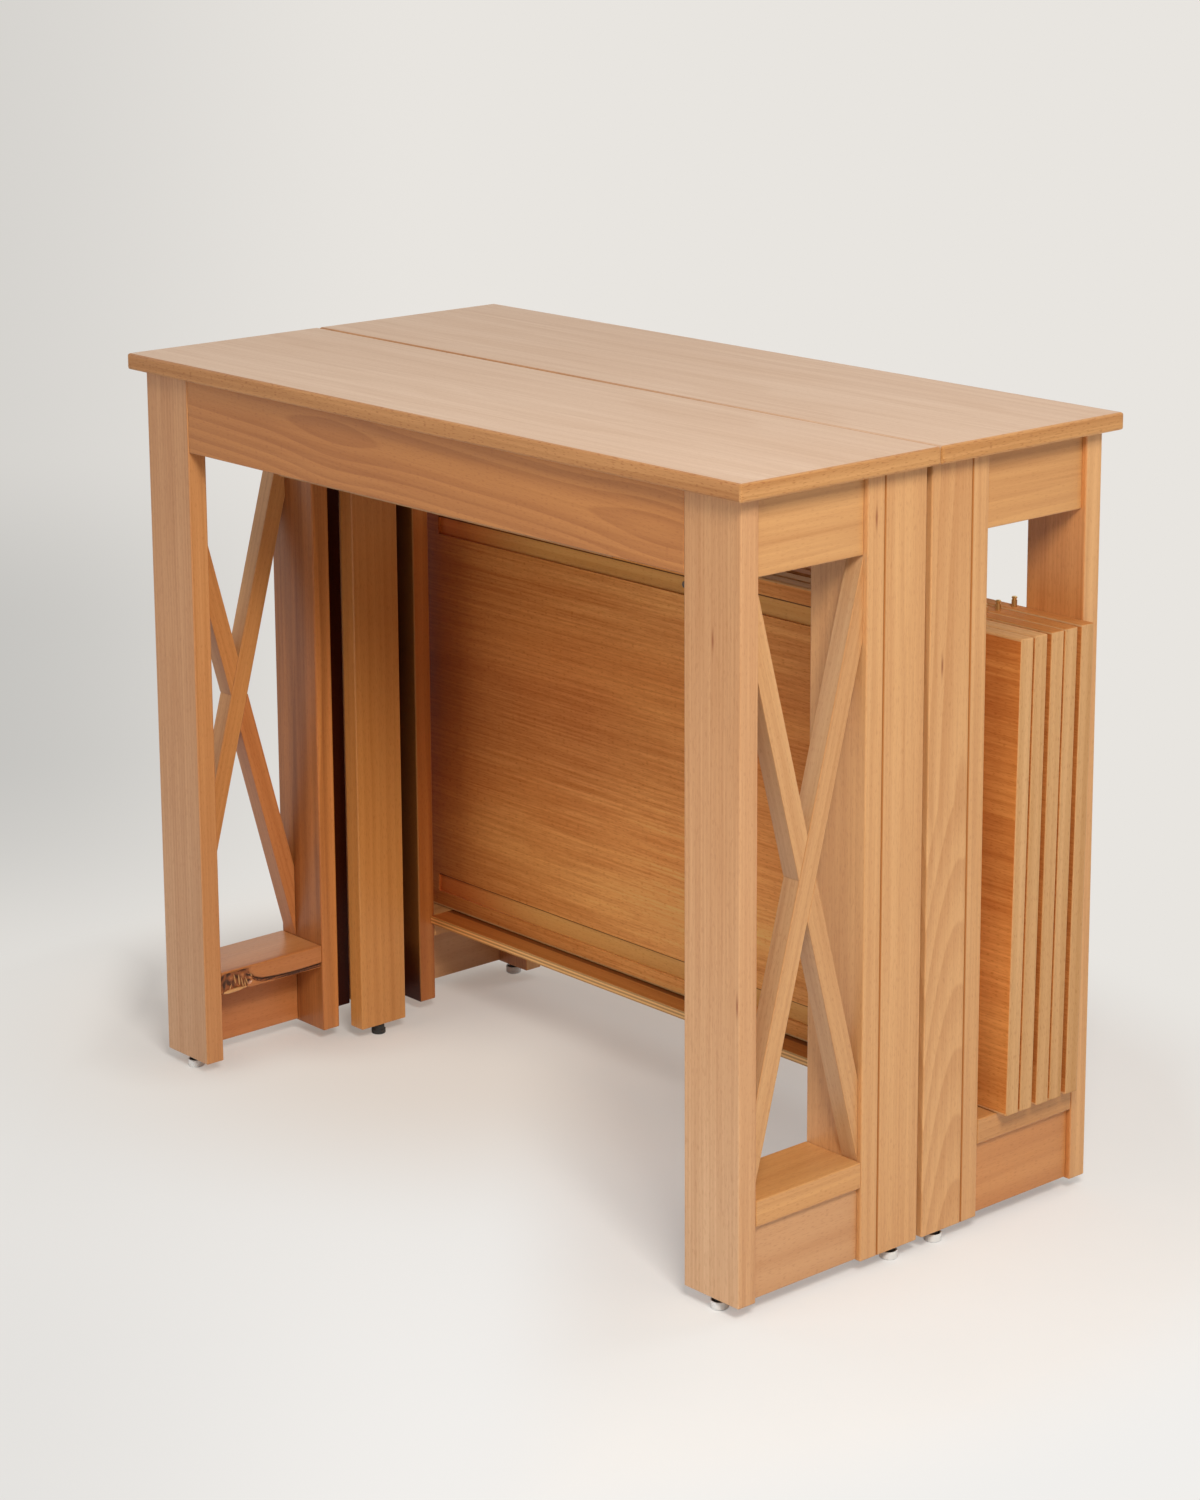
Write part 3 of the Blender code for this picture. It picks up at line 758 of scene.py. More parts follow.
# %% Top boards
HALF_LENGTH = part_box("front_top")[1].x
LIPPING = (0.0030, 0.0026)
SEAM_FADE = (0.02, 0.01)
FAINT_FADE = (-0.20, 0.35)
FAINT_SHARE = 0.75
TOP_HOLE_FADE = (0.0016, 0.0012)
TOP_GLOSS = 0.40
TOP_DULLER = 0.08
TONES["veneer"] = ((0.682, 0.482, 0.342, 1.0), (0.583, 0.377, 0.243, 1.0))
TONES["lipping"] = ((0.600, 0.310, 0.115, 1.0), (0.440, 0.195, 0.058, 1.0))
TONES["back_lipping"] = ((0.660, 0.345, 0.128, 1.0), (0.485, 0.217, 0.064, 1.0))
TONES["front_lipping"] = ((0.525, 0.252, 0.090, 1.0), (0.370, 0.150, 0.042, 1.0))
FIGURES["veneer"] = (0.022, 0.26, 0.060, 1.10, 0.20)
FIGURES["lipping"] = (0.007, 0.35, 0.012, 1.2, 0.6, 1.8)


def dress_top(name, h):
    """Give a top its veneer, its lippings and its pin holes."""
    low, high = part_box(name)
    material, tree, shader, place = plain_material("veneer_" + name)
    axes = split(tree, place)
    vector = grain_space(tree, place, TURN["X"], (0.1, 0.05 * h, 0.60), 150 + h)
    across = grain_space(tree, place, TURN["Y"], (0.2, 0.0, 0.5), 160 + h)
    lengthways = grain_space(tree, place, TURN["X"], (0.0, 0.1, 0.5), 170 + h)
    face = cut_of_wood(tree, vector, "veneer", "veneer")
    side_band = cut_of_wood(tree, lengthways, "front_lipping", "lipping")
    end_band = cut_of_wood(tree, across, "lipping" if h < 0 else "back_lipping", "lipping")
    to_end = maths(tree, "ABSOLUTE", axes["X"])
    to_seam = maths(tree, "ABSOLUTE", axes["Y"])
    at_end = near_rim(tree, to_end, HALF_LENGTH, LIPPING)
    from_middle = apart(tree, axes["Y"], (low.y + high.y) / 2)
    at_side = near_rim(tree, from_middle, (high.y - low.y) / 2, LIPPING)
    faint = times(tree, step(tree, to_seam, *SEAM_FADE), step(tree, axes["X"], *FAINT_FADE), FAINT_SHARE)
    at_side = times(tree, at_side, maths(tree, "SUBTRACT", 1.0, faint))
    colour = mix(tree, at_side, face.outputs["Color"], side_band.outputs["Color"])
    colour = mix(tree, at_end, colour, end_band.outputs["Color"])
    hole = pin_hole(tree, to_end, maths(tree, "SUBTRACT", axes["Z"], (low.z + high.z) / 2))
    hole = times(tree, hole, step(tree, to_seam, *TOP_HOLE_FADE))
    colour = mix(tree, hole, colour, HOLE_PAINTED_SHADE)
    shader.inputs["Specular IOR Level"].default_value = TOP_GLOSS
    rough = maths(tree, "ADD", face.outputs["Roughness"], TOP_DULLER)
    dress(tree, shader, colour, rough, face.outputs["Height"])
    wear(name, material)
    print(name, "veneer", [round(value, 3) for value in high - low])


for half, h in HALVES:
    dress_top(half + "_top", h)

# %% [markdown]
# ## Leaves
#
# The leaves are reddish veneer with pale lippings, and two stopped slots show the paler board inside. A leaf
# leans a little in its rack, so a Mapping node of the Texture kind first brings it upright. Masks in its own
# length, thickness and height then say where veneer, lipping and slot are.

# %% Leaf sizes and masks
LEAF_COUNT = 5
LEAF_LEAN = math.radians(1.0)
LEAF_THICK = 0.0164
LEAF_WIDTH = 0.4540
LEAF_SKIN = 0.0010
SLOT = (0.0170, 0.0370)
SLOT_TOPS = (SLOT[1], LEAF_WIDTH - SLOT[0])
SLOT_END = 0.3870
BAND_BLUR = 0.0002


def leaf_origin(number):
    """Give the lower front corner line of a leaf, which is where its lean turns."""
    low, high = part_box("leaf_%d" % number)
    return Vector((0.0, low.y, low.z + LEAF_THICK * math.sin(LEAF_LEAN)))


def band_mask(tree, value, low, high):
    """Give 1 between two limits."""
    rise = step(tree, value, low - BAND_BLUR, low + BAND_BLUR)
    return times(tree, rise, step(tree, value, high + BAND_BLUR, high - BAND_BLUR))


def slot_mask(tree, axes, to_end, to_edge):
    """Give 1 in the two stopped slots, below the faces of a leaf."""
    low, high = [LEAF_WIDTH / 2 - depth for depth in reversed(SLOT)]
    between = band_mask(tree, to_edge, low - BAND_BLUR, high + BAND_BLUR)
    stopped = step(tree, to_end, SLOT_END + 0.0006, SLOT_END + 0.0002)
    return times(tree, between, stopped, band_mask(tree, axes["Y"], LEAF_SKIN, LEAF_THICK - LEAF_SKIN))


print(LEAF_COUNT, "leaves", LEAF_WIDTH, "wide")

# %% Painted light and shade of the first leaf
LEAF_PAINTED_GOLDEN_LIGHT = (1.23, 1.55, 1.90, 1.0)
GOLD_LOW = (0.34, 0.10)
GOLD_HIGH = (0.32, 0.42)
GOLD_MIDDLE = (0.0, 0.30)
LEAF_PAINTED_PALE_LIGHT = (1.18, 1.22, 1.30, 1.0)
PALE_MIDDLE = (0.02, 0.16)
LEAF_END_PAINTED_SHADE = (0.64, 0.37, 0.18, 1.0)
RED_END = (-0.26, -0.42)
RED_RISE = (0.02, 0.14)
RED_SHARES = (0.65, 0.35)
LEAF_BELT_PAINTED_SHADE = (0.94, 0.86, 0.90, 1.0)
BELT_HEIGHT = (0.27, 0.09)
BELT_END = (-0.02, -0.18)
LEAF_LOW_PAINTED_LIGHT = (1.14, 1.17, 1.22, 1.0)
GLOW_HEIGHT = (0.15, 0.06)
LEAF_LIMIT = (0.86, 0.60, 0.34, 1.0)


def first_leaf_tints(tree, axes, colour):
    """Paint light and shade on the leaf in view: light makes the middle golden, a band paler and the low part
    brighter, and shade makes the left end red and a belt darker.
    """
    golden = maths(tree, "MAXIMUM", step(tree, axes["Z"], *GOLD_LOW), step(tree, axes["Z"], *GOLD_HIGH))
    golden = times(tree, golden, hump(tree, axes["X"], *GOLD_MIDDLE))
    colour = tint(tree, golden, colour, LEAF_PAINTED_GOLDEN_LIGHT)
    colour = tint(tree, hump(tree, axes["X"], *PALE_MIDDLE), colour, LEAF_PAINTED_PALE_LIGHT)
    higher = plus_share(tree, RED_SHARES[0], step(tree, axes["Z"], *RED_RISE), RED_SHARES[1])
    redder = times(tree, step(tree, axes["X"], *RED_END), higher)
    colour = tint(tree, redder, colour, LEAF_END_PAINTED_SHADE)
    belt = times(tree, hump(tree, axes["Z"], *BELT_HEIGHT), step(tree, axes["X"], *BELT_END))
    colour = tint(tree, belt, colour, LEAF_BELT_PAINTED_SHADE)
    colour = tint(tree, hump(tree, axes["Z"], *GLOW_HEIGHT), colour, LEAF_LOW_PAINTED_LIGHT)
    return mix(tree, 1.0, colour, LEAF_LIMIT, "DARKEN")


print("first leaf at most", LEAF_LIMIT)

# %% Leaf material
TONES["leaf"] = ((0.710, 0.282, 0.071, 1.0), (0.468, 0.134, 0.026, 1.0))
TONES["leaf_lipping"] = ((0.690, 0.405, 0.190, 1.0), (0.545, 0.285, 0.110, 1.0))
TONES["slot"] = ((0.805, 0.440, 0.140, 1.0), (0.644, 0.297, 0.079, 1.0))
FIGURES["leaf"] = (0.030, 0.18, 0.030, 1.6, 0.45, 0.65)
FIGURES["leaf_lipping"] = (0.007, 0.3, 0.010, 0.4, 0.35)
FIGURES["slot"] = (0.009, 0.3, 0.012, 0.6, 0.3)
RIPPLE_CELLS = (55.0, 1.0, 230.0)
RIPPLE_FADE = (0.42, 0.66)
LEAF_RIPPLE = (0.95, 0.92, 0.90, 1.0)
# Painted shade: leaves after the first are a little darker on their faces near the ends.
LEAF_TIP_PAINTED_SHADE = (0.92, 0.92, 0.95, 1.0)
TIP_DEPTHS = (0.014, 0.008)
# Painted shade: the upper edges of leaves 3 to 5 are darker and redder.
CREST_PAINTED_SHADE = (0.80, 0.57, 0.37, 1.0)
CREST_DEPTHS = (0.0010, 0.0004)
END_DEPTHS = (0.0010, 0.0007)
EDGE_DEPTHS = (0.0024, 0.0020)
# Painted shade: the slot of the first leaf turns darker and redder towards its left end.
SLOT_END_PAINTED_SHADE = (0.80, 0.40, 0.27, 1.0)
SLOT_RED_END = (-0.20, -0.38)
# Painted shadow: a dark line just below the upper edge of each slot.
CORNER_DEPTH = 0.0022
SLOT_CORNER_PAINTED_SHADOW = (0.110, 0.036, 0.010, 1.0)
LEAF_HOLE_FADE = (0.0008, 0.0004)
LEAF_GLOSS = 0.12
EDGE_DULLER = 0.25


def leaf_face(tree, number, axes, upright, to_end, veneer):
    """Give the colour of the faces of a leaf."""
    ripple = noise(tree, upright, RIPPLE_CELLS, 1.0).outputs[0]
    colour = tint(tree, step(tree, ripple, *RIPPLE_FADE), veneer, LEAF_RIPPLE)
    if number == 1:
        return first_leaf_tints(tree, axes, colour)
    return tint(tree, near_rim(tree, to_end, HALF_LENGTH, TIP_DEPTHS), colour, LEAF_TIP_PAINTED_SHADE)


def dress_leaf(number):
    """Give a leaf its veneer, lippings, slots and pin holes."""
    name = "leaf_%d" % number
    material, tree, shader, place = plain_material("veneer_" + name)
    lean = {"Vector": place, "Location": leaf_origin(number), "Rotation": (-LEAF_LEAN, 0.0, 0.0)}
    upright = add(tree, "Mapping", lean, vector_type="TEXTURE").outputs[0]
    axes = split(tree, upright)
    to_end = maths(tree, "ABSOLUTE", axes["X"])
    to_edge = apart(tree, axes["Z"], LEAF_WIDTH / 2)
    at_end = near_rim(tree, to_end, HALF_LENGTH, END_DEPTHS)
    at_edge = near_rim(tree, to_edge, LEAF_WIDTH / 2, EDGE_DEPTHS)
    in_slot = slot_mask(tree, axes, to_end, to_edge)
    vector = grain_space(tree, upright, TURN["X"], (0.0, 0.5, 0.15 + 0.05 * number), 200 + number)
    across = grain_space(tree, upright, TURN["Z"], (0.3, 0.1, 0.0), 210 + number)
    turned = add(tree, "Mix", {0: at_end, 4: vector, 5: across}, data_type="VECTOR").outputs[1]
    face = cut_of_wood(tree, vector, "leaf", "leaf")
    lipping = cut_of_wood(tree, turned, "leaf_lipping", "leaf_lipping").outputs["Color"]
    core = cut_of_wood(tree, vector, "slot", "slot").outputs["Color"]
    if number == 1:
        core = tint(tree, step(tree, axes["X"], *SLOT_RED_END), core, SLOT_END_PAINTED_SHADE)
    if number > 2:
        lipping = tint(tree, near_rim(tree, axes["Z"], LEAF_WIDTH, CREST_DEPTHS), lipping, CREST_PAINTED_SHADE)
    colour = leaf_face(tree, number, axes, upright, to_end, face.outputs["Color"])
    colour = mix(tree, maths(tree, "MAXIMUM", at_end, at_edge), colour, lipping)
    colour = mix(tree, in_slot, colour, core)
    # painted shadow along the upper edge of each slot
    corners = [band_mask(tree, axes["Z"], top - CORNER_DEPTH, top + BAND_BLUR) for top in SLOT_TOPS]
    corner = times(tree, maths(tree, "MAXIMUM", *corners), in_slot)
    colour = mix(tree, corner, colour, SLOT_CORNER_PAINTED_SHADOW)
    hole = pin_hole(tree, to_end, maths(tree, "SUBTRACT", axes["Y"], LEAF_THICK / 2))
    hole = times(tree, hole, step(tree, axes["Z"], *LEAF_HOLE_FADE))
    colour = mix(tree, hole, colour, HOLE_PAINTED_SHADE)
    shader.inputs["Specular IOR Level"].default_value = LEAF_GLOSS
    rough = plus_share(tree, face.outputs["Roughness"], at_edge, EDGE_DULLER)
    dress(tree, shader, colour, rough, face.outputs["Height"])
    wear(name, material)
    print(name, "leans at", [round(value, 4) for value in leaf_origin(number)])


for number in range(1, LEAF_COUNT + 1):
    dress_leaf(number)

# %% [markdown]
# ## Plywood ledge and slide frames
#
# The ledge under the leaves is plywood, so its edge shows thin layers whose grain turns by a quarter each
# time. A painted shadow darkens a line at the foot of the leaf in front, and painted shade darkens the left
# end. The slide frames under the tops are plain waxed hardwood, straight grained so that they run true, and
# their cross ties run the other way.

# %% Ledge
PLY = 0.0018
PLY_RISE = (0.40, 0.50)
PLY_FALL = (1.0, 0.92)
PLY_EDGE = (0.880, 0.540, 0.230, 1.0)
PLY_LINE = (0.520, 0.280, 0.105, 1.0)
# Painted shadow: a dark line at the foot of the leaf in front.
LEDGE_PAINTED_SHADOW = (0.40, 0.30, 0.22, 1.0)
LEDGE_SHADOW_RISE = (0.0925, 0.0955)
LEDGE_SHADOW_FALL = (0.1050, 0.1020)
# Painted shade: the left end of the ledge is darker and redder.
LEDGE_LEFT_PAINTED_SHADE = (0.98, 0.72, 0.50, 1.0)
LEDGE_LEFT_END = (-0.18, -0.36)
LEDGE_GLOSS = 0.15
TONES["ply"] = ((0.610, 0.270, 0.075, 1.0), (0.475, 0.180, 0.042, 1.0))
FIGURES["ply"] = (0.009, 0.4, 0.020, 0.5, 0.4)
low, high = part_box("leaf_ledge")
material, tree, shader, place = plain_material("plywood_ledge")
axes = split(tree, place)
vector = grain_space(tree, place, TURN["X"], (0.0, 0.0, 0.0), 220)
sheet = cut_of_wood(tree, vector, "ply", "ply")
layer = maths(tree, "FRACT", maths(tree, "DIVIDE", axes["Z"], 2 * PLY))
layer = times(tree, step(tree, layer, *PLY_RISE), step(tree, layer, *PLY_FALL))
at_front = step(tree, axes["Y"], low.y + 0.0006, low.y + 0.0002)
at_front = maths(tree, "MAXIMUM", at_front, step(tree, axes["Y"], high.y - 0.0006, high.y - 0.0002))
leaf_foot_shadow = times(tree, step(tree, axes["Y"], *LEDGE_SHADOW_RISE), step(tree, axes["Y"], *LEDGE_SHADOW_FALL))
colour = tint(tree, leaf_foot_shadow, sheet.outputs["Color"], LEDGE_PAINTED_SHADOW)
colour = mix(tree, at_front, colour, PLY_EDGE)
colour = mix(tree, times(tree, at_front, layer), colour, PLY_LINE)
colour = tint(tree, step(tree, axes["X"], *LEDGE_LEFT_END), colour, LEDGE_LEFT_PAINTED_SHADE)
shader.inputs["Specular IOR Level"].default_value = LEDGE_GLOSS
dress(tree, shader, colour, sheet.outputs["Roughness"], sheet.outputs["Height"])
wear("leaf_ledge", material)
print("ledge", round(high.z - low.z, 4), "thick")

# %% Slide frames
TIE_TOP = (0.6905, 0.6900)
TONES["runner"] = ((0.560, 0.320, 0.130, 1.0), (0.410, 0.205, 0.070, 1.0))
FIGURES["runner"] = (0.005, 0.45, 0.006, 0.7, 0.5)
FRAMES = ["back_slide_frame"] + ["slide_frame_%d" % k for k in range(1, 7)] + ["front_slide_frame"]
for count, name in enumerate(FRAMES):
    material, tree, shader, place = plain_material("runner_" + name)
    lengthways = grain_space(tree, place, TURN["Y"], (0.6, 0.0, 0.5), 240 + count)
    across = grain_space(tree, place, TURN["X"], (0.0, 0.4, 0.5), 260 + count)
    on_tie = step(tree, split(tree, place)["Z"], *TIE_TOP)
    turned = add(tree, "Mix", {0: on_tie, 4: lengthways, 5: across}, data_type="VECTOR").outputs[1]
    wood = cut_of_wood(tree, turned, "runner", "runner")
    dress(tree, shader, wood.outputs["Color"], wood.outputs["Roughness"], wood.outputs["Height"])
    wear(name, material)
print(len(FRAMES), "slide frames dressed")

# %% [markdown]
# ## Glides
#
# Under each upright sits a white plastic cup on a dark stud, and under each centre post a black pad. A lathe
# turns such a thing from a profile, and so can Blender: a disc is extruded upwards and scaled step by step.
# One of each is made and then copied to every upright.


# %% Turning helper
def turned_piece(name, radius, steps, sides=32):
    """Raise a disc by steps of height and radius, close it, and return it at the origin."""
    bpy.ops.object.select_all(action="DESELECT")
    bpy.ops.mesh.primitive_circle_add(vertices=sides, radius=radius, fill_type="NGON")
    piece = bpy.context.object
    piece.name = name
    bpy.ops.object.mode_set(mode="EDIT")
    bpy.ops.mesh.select_all(action="SELECT")
    height = 0.0
    for top, wide in steps:
        bpy.ops.mesh.extrude_region_move(TRANSFORM_OT_translate={"value": (0.0, 0.0, top - height)})
        bpy.ops.transform.resize(value=(wide / radius, wide / radius, 1.0), center_override=(0.0, 0.0, top))
        height, radius = top, wide
    bpy.ops.mesh.select_all(action="SELECT")
    bpy.ops.mesh.normals_make_consistent(inside=False)
    bpy.ops.object.mode_set(mode="OBJECT")
    bpy.ops.object.shade_smooth_by_angle(angle=math.radians(40))
    return piece


def copies(pattern, places, name, material):
    """Copy a pattern to each named place, each copy with its own mesh, and remove the pattern."""
    made = {}
    for label, (matrix, body) in places.items():
        piece = bpy.data.objects.new(name + "_" + label, pattern.data.copy())
        piece.data.transform(matrix)
        piece.data.materials.clear()
        piece.data.materials.append(material)
        scene.collection.objects.link(piece)
        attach(piece, body)
        made[label] = piece
    bpy.data.objects.remove(pattern, do_unlink=True)
    print(name, len(made), "made")
    return made


print("turning helpers ready")


# %% Plastics
def speckled(name, cells, tones, roughness, relief, detail=2.0, metallic=0.0):
    """Make a plain material whose tone, roughness and relief follow one fine noise."""
    material, tree, shader, place = plain_material(name)
    speckle = noise(tree, place, cells, detail).outputs[0]
    rough = plus_share(tree, roughness[0], speckle, roughness[1])
    dress(tree, shader, mix(tree, speckle, *tones), rough, speckle, relief)
    shader.inputs["Metallic"].default_value = metallic
    return material


WHITE_TONES = ((0.80, 0.80, 0.79, 1.0), (0.70, 0.70, 0.69, 1.0))
BLACK_TONES = ((0.012, 0.011, 0.010, 1.0), (0.030, 0.028, 0.026, 1.0))
PLASTIC_BUMP = 0.00005
WHITE_PLASTIC = speckled("white_plastic", (900.0, 900.0, 900.0), WHITE_TONES, (0.50, 0.2), PLASTIC_BUMP)
BLACK_RUBBER = speckled("black_rubber", (700.0, 700.0, 700.0), BLACK_TONES, (0.55, 0.2), PLASTIC_BUMP)
print("plastics ready")

# %% Glides
CUP_STEPS = ((0.0010, 0.0084), (0.0070, 0.0086), (0.0077, 0.0082), (0.0077, 0.0074), (0.0050, 0.0072))
STUD_STEPS = ((0.0016, 0.0070), (0.0020, 0.0046), (0.0068, 0.0046))
STUD_LIFT = 0.0052
PAD_STEPS = ((0.0008, 0.0076), (0.0050, 0.0076), (0.0058, 0.0066), (0.0118, 0.0060))
feet_at = {}
pads_at = {}
for name in sorted(name for name in NODES if name.startswith("foot_")):
    spot = middle(name)
    row = pads_at if "centre" in name else feet_at
    row[name[5:]] = (Matrix.Translation((spot.x, spot.y, 0.0)), NODES[name]["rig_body"])
cup = turned_piece("glide_pattern", 0.0074, CUP_STEPS)
for label, piece in copies(cup, feet_at, "glide", WHITE_PLASTIC).items():
    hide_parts("foot_" + label)
stud = turned_piece("stud_pattern", 0.0070, STUD_STEPS)
stud.data.transform(Matrix.Translation((0.0, 0.0, STUD_LIFT)))
copies(stud, feet_at, "glide_stud", BLACK_RUBBER)
pad = turned_piece("pad_pattern", 0.0068, PAD_STEPS)
for label, piece in copies(pad, pads_at, "glide", BLACK_RUBBER).items():
    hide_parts("foot_" + label)

# %% [markdown]
# ## Brass pins
#
# Short brass pins in the upper edge of each leaf line it up with its neighbour on the opened table. They have
# a groove near a rounded tip, so they are turned the same way as the glides.

# %% Brass pins
BRASS_TONES = ((0.78, 0.55, 0.24, 1.0), (0.55, 0.36, 0.13, 1.0))
METAL_BUMP = 0.00003
BRASS = speckled("brass", (320.0, 320.0, 320.0), BRASS_TONES, (0.22, 0.25), METAL_BUMP, 3.0, 1.0)
PIN_RISE = 0.0100
GROOVE_RADIUS = PIN_RADIUS * 0.78
TIP_RADIUS = PIN_RADIUS * 0.72
PIN_STEPS = (
    (0.0068, PIN_RADIUS), (0.0072, GROOVE_RADIUS), (0.0080, GROOVE_RADIUS), (0.0084, PIN_RADIUS),
    (0.0094, PIN_RADIUS), (PIN_RISE, TIP_RADIUS),
)


def on_leaf(number, seat):
    """Give the place of a seat on a leaning leaf, and the body that it rides on."""
    upright = Matrix.Translation(leaf_origin(number)) @ Matrix.Rotation(-LEAF_LEAN, 4, "X")
    return upright @ seat, "leaf_%d" % number


pin = turned_piece("pin_pattern", PIN_RADIUS, PIN_STEPS, 24)
pins_at = {}
for number in range(1, LEAF_COUNT + 1):
    for side, s in SIDES:
        seat = Matrix.Translation((s * PIN_X, LEAF_THICK / 2, LEAF_WIDTH))
        pins_at["%d_%s" % (number, side)] = on_leaf(number, seat)
copies(pin, pins_at, "leaf_pin", BRASS)

# %% [markdown]
# ## The worn shelf
#
# The shelf at the lower left was sawn near the bark. A third of its inner edge has splintered away, and a
# dark bark line runs on from there. A bump would look flat from the side, so the edge is really carved: the
# board is sliced into a grid, and a Displace modifier pushes the edge in by the weights of a vertex group.

# %% Wane of the edge
CHIP_END = 0.29
CHIP_DEPTH = 0.0050
BARK_LINE = ((0.29, 0.40), (0.33, 0.62), (0.40, 0.76), (0.55, 0.83), (0.72, 0.86), (1.01, 0.83))
LINE_WIDTH = 0.055
LOWER_LINE = 0.10
LOWER_WIDTH = 0.040
STRIP_DEPTH = 0.30


def bark_height(t):
    """Give how far down the edge the bark line runs."""
    for (t0, v0), (t1, v1) in zip(BARK_LINE, BARK_LINE[1:]):
        if t <= t1:
            return v0 + (v1 - v0) * (t - t0) / (t1 - t0)
    return BARK_LINE[-1][1]


def wane(t, v):
    """Give the carved depth and the darkness at a place along and down the edge."""
    rough = mathutils.noise.noise(Vector((t * 26.0, v * 5.0, 0.3)))
    ragged = CHIP_END + 0.03 * mathutils.noise.noise(Vector((v * 6.0, 1.7, 0.0)))
    if t < ragged:
        lip = min(1.0, max(0.0, (v - 0.05) / 0.12))
        start = min(1.0, t / 0.04)
        return lip * start * (0.62 + 0.38 * rough), lip * (0.52 + 0.40 * rough)
    below = v - bark_height(t)
    line = math.exp(-((below / LINE_WIDTH) ** 2))
    second = math.exp(-(((below - LOWER_LINE) / LOWER_WIDTH) ** 2))
    strip = STRIP_DEPTH if below > 0.0 else 0.0
    return max(strip, 0.62 * line, 0.50 * second), max(line, 0.75 * second)


print("bark line ends at", bark_height(1.0))

# %% Slice the shelf
SHELF = "front_shelf_left"
SHELF_BEVEL = 0.0012
CUTS_ALONG = 72
CUTS_DOWN = 18
EDGE_CUT = 0.004
shelf_low, shelf_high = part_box(SHELF)
shelf_long = shelf_high.y - shelf_low.y
shelf_thick = shelf_high.z - shelf_low.z


def slice_board(point, normal):
    """Cut the whole board in edit mode along a plane."""
    bpy.ops.mesh.select_all(action="SELECT")
    bpy.ops.mesh.bisect(plane_co=point, plane_no=normal)


bpy.ops.object.select_all(action="DESELECT")
bpy.ops.mesh.primitive_cube_add(size=1.0, location=middle(SHELF), scale=shelf_high - shelf_low)
shelf = bpy.context.object
shelf.name = "worn_shelf"
bpy.ops.object.transform_apply(location=True, rotation=False, scale=True)
bpy.ops.object.mode_set(mode="EDIT")
bpy.ops.mesh.select_all(action="SELECT")
bpy.ops.mesh.bevel(offset=SHELF_BEVEL, segments=2)
for cut in range(1, CUTS_ALONG):
    slice_board((0.0, shelf_low.y + shelf_long * cut / CUTS_ALONG, 0.0), (0.0, 1.0, 0.0))
for cut in range(1, CUTS_DOWN):
    slice_board((0.0, 0.0, shelf_low.z + shelf_thick * cut / CUTS_DOWN), (0.0, 0.0, 1.0))
slice_board((shelf_high.x - EDGE_CUT, 0.0, 0.0), (1.0, 0.0, 0.0))
bpy.ops.mesh.select_all(action="SELECT")
bpy.ops.mesh.remove_doubles(threshold=0.00001)
bpy.ops.mesh.normals_make_consistent(inside=False)
bpy.ops.object.mode_set(mode="OBJECT")
print("sliced shelf has", len(shelf.data.polygons), "faces")

# %% Carve the shelf
CARVED_BAND = 0.0015
edge_group = shelf.vertex_groups.new(name="wane")
darkness = [0.0] * len(shelf.data.vertices)
for vertex in shelf.data.vertices:
    if vertex.co.x > shelf_high.x - CARVED_BAND:
        along_edge = (vertex.co.y - shelf_low.y) / shelf_long
        down_edge = (shelf_high.z - vertex.co.z) / shelf_thick
        depth, darkness[vertex.index] = wane(along_edge, down_edge)
        edge_group.add([vertex.index], min(1.0, max(0.0, depth)), "REPLACE")
push = shelf.modifiers.new("carve", "DISPLACE")
push.direction = "X"
push.mid_level = 0.0
push.strength = -CHIP_DEPTH
push.vertex_group = "wane"
bpy.ops.object.modifier_apply(modifier="carve")
shelf.data.attributes.new("bark", "FLOAT", "POINT").data.foreach_set("value", darkness)
bpy.ops.object.shade_smooth_by_angle(angle=math.radians(30))
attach(shelf, "front_half")
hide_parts(SHELF)
print("worn shelf has", len(shelf.data.polygons), "faces")

# %% Worn shelf material
SHELF_EDGE = (0.86, 0.76, 0.72, 1.0)
SHELF_EDGE_DEPTHS = (0.0065, 0.0050)
BARK_CELLS = (900.0, 420.0, 130.0)
BARK_RISE = (0.12, 0.85)
BARK_LEAST = 0.55
RED_BARK = (0.260, 0.078, 0.022, 1.0)
RED_BARK_FADE = (0.05, 0.45)
DARK_BARK = (0.060, 0.020, 0.008, 1.0)
DARK_BARK_FADE = (0.50, 0.95)
BARK_DULLER = 0.35
FIGURES["worn_shelf"] = (0.008, 0.30, 0.012)
material, tree, shader, place = plain_material("beech_worn_shelf")
vector = grain_space(tree, place, TURN["Y"], middle(SHELF) + Vector((-0.03, 0.0, -0.12)), 61)
wood = cut_of_wood(tree, vector, "russet", "worn_shelf")
bark = add(tree, "Attribute", attribute_name="bark").outputs["Fac"]
streaks = noise(tree, place, BARK_CELLS, 3.0).outputs[0]
bark = times(tree, step(tree, bark, *BARK_RISE), maths(tree, "ADD", BARK_LEAST, streaks))
on_edge = near_rim(tree, split(tree, place)["X"], shelf_high.x, SHELF_EDGE_DEPTHS)
colour = tint(tree, on_edge, wood.outputs["Color"], SHELF_EDGE)
colour = mix(tree, step(tree, bark, *RED_BARK_FADE), colour, RED_BARK)
colour = mix(tree, step(tree, bark, *DARK_BARK_FADE), colour, DARK_BARK)
rough = plus_share(tree, wood.outputs["Roughness"], bark, BARK_DULLER)
dress(tree, shader, colour, rough, wood.outputs["Height"])
shelf.data.materials.append(material)
print("worn shelf dressed")

# %% [markdown]
# The chipped wood leaves pale slivers. One is modelled as a thin five sided spike, and its copies stand in
# the hollow at their own angles, with one lying along the lower edge.

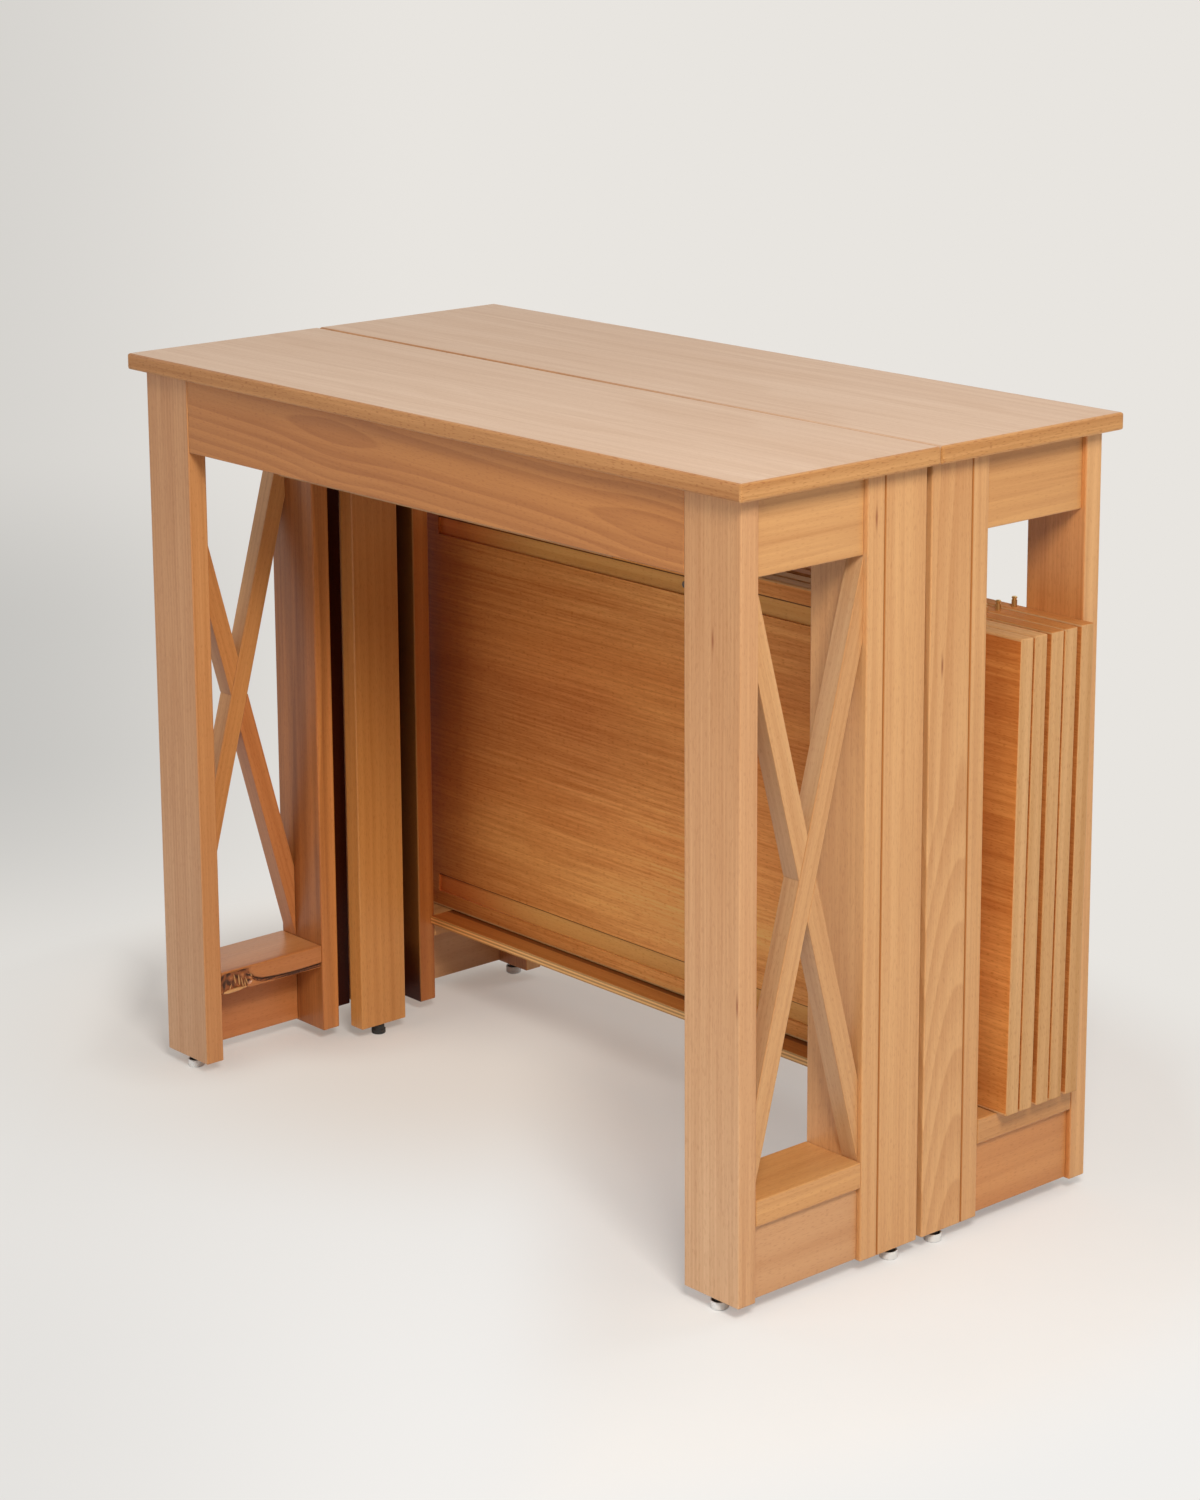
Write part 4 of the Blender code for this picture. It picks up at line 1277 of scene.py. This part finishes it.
# %% Slivers
FRESH_TONES = ((0.700, 0.400, 0.160, 1.0), (0.480, 0.210, 0.070, 1.0))
FRESH_WOOD = speckled("fresh_wood", (900.0, 900.0, 140.0), FRESH_TONES, (0.5, 0.2), LACQUER_BUMP)
SLIVER_STEPS = ((0.002, 0.0009), (0.007, 0.0008), (0.011, 0.0001))
SLIVERS = (
    (0.085, 0.96, 0.8, 20), (0.150, 0.66, 1.0, -14), (0.190, 0.80, 1.2, -10), (0.225, 0.92, 1.1, -16),
    (0.270, 0.84, 0.9, -24), (0.310, 0.70, 0.9, -12), (0.245, 0.98, 0.9, -8), (0.030, 0.97, 2.6, 86),
)
SLIVER_DEPTH = CHIP_DEPTH * 0.62
SLIVER_TIP = math.radians(6)
sliver = turned_piece("sliver_pattern", 0.0004, SLIVER_STEPS, 5)
slivers_at = {}
for count, (t, v, size, lean) in enumerate(SLIVERS):
    spot = (shelf_high.x - SLIVER_DEPTH, shelf_low.y + shelf_long * t, shelf_high.z - shelf_thick * v)
    turned = Matrix.Rotation(math.radians(-lean), 4, "X") @ Matrix.Rotation(SLIVER_TIP, 4, "Y")
    slivers_at[str(count + 1)] = (Matrix.Translation(spot) @ turned @ Matrix.Scale(size, 4), "front_half")
copies(sliver, slivers_at, "sliver", FRESH_WOOD)

# %% [markdown]
# ## Screws
#
# A small screw sits in the upper slot of each leaf. Its head is turned like the pins, and a Boolean cuts the
# cross.

# %% Screw head
ZINC_TONES = ((0.300, 0.285, 0.260, 1.0), (0.160, 0.150, 0.135, 1.0))
ZINC = speckled("zinc_screw", (800.0, 800.0, 800.0), ZINC_TONES, (0.32, 0.2), METAL_BUMP, 2.0, 1.0)
SCREW_STEPS = ((0.0004, 0.0035), (0.0011, 0.0028), (0.0014, 0.0018))
BLADE_SIZE = (0.0042, 0.0008, 0.0012)
BLADE_HEIGHT = 0.0013
screw = turned_piece("screw_pattern", 0.0034, SCREW_STEPS, 24)
for turn in (0.0, math.pi / 2):
    bpy.ops.object.select_all(action="DESELECT")
    bpy.ops.mesh.primitive_cube_add(size=1.0, location=(0.0, 0.0, BLADE_HEIGHT), scale=BLADE_SIZE)
    blade = bpy.context.object
    blade.rotation_euler.z = turn
    bpy.ops.object.transform_apply(location=True, rotation=True, scale=True)
    bpy.ops.object.select_all(action="DESELECT")
    bpy.context.view_layer.objects.active = screw
    screw.select_set(True)
    cut = screw.modifiers.new("cross", "BOOLEAN")
    cut.object = blade
    cut.operation = "DIFFERENCE"
    bpy.ops.object.modifier_apply(modifier="cross")
    bpy.data.objects.remove(blade, do_unlink=True)
print("screw head has", len(screw.data.polygons), "faces")

# %% Screws
SLOT_FLOOR = 0.0030
screws_at = {}
for number in range(1, LEAF_COUNT + 1):
    odd = number % 2 == 1
    floor_at = SLOT_FLOOR if odd else LEAF_THICK - SLOT_FLOOR
    facing = Matrix.Rotation(math.pi / 2 if odd else -math.pi / 2, 4, "X")
    seat = Matrix.Translation((0.0, floor_at, LEAF_WIDTH - sum(SLOT) / 2)) @ facing
    screws_at[str(number)] = on_leaf(number, seat)
copies(screw, screws_at, "slot_screw", ZINC)
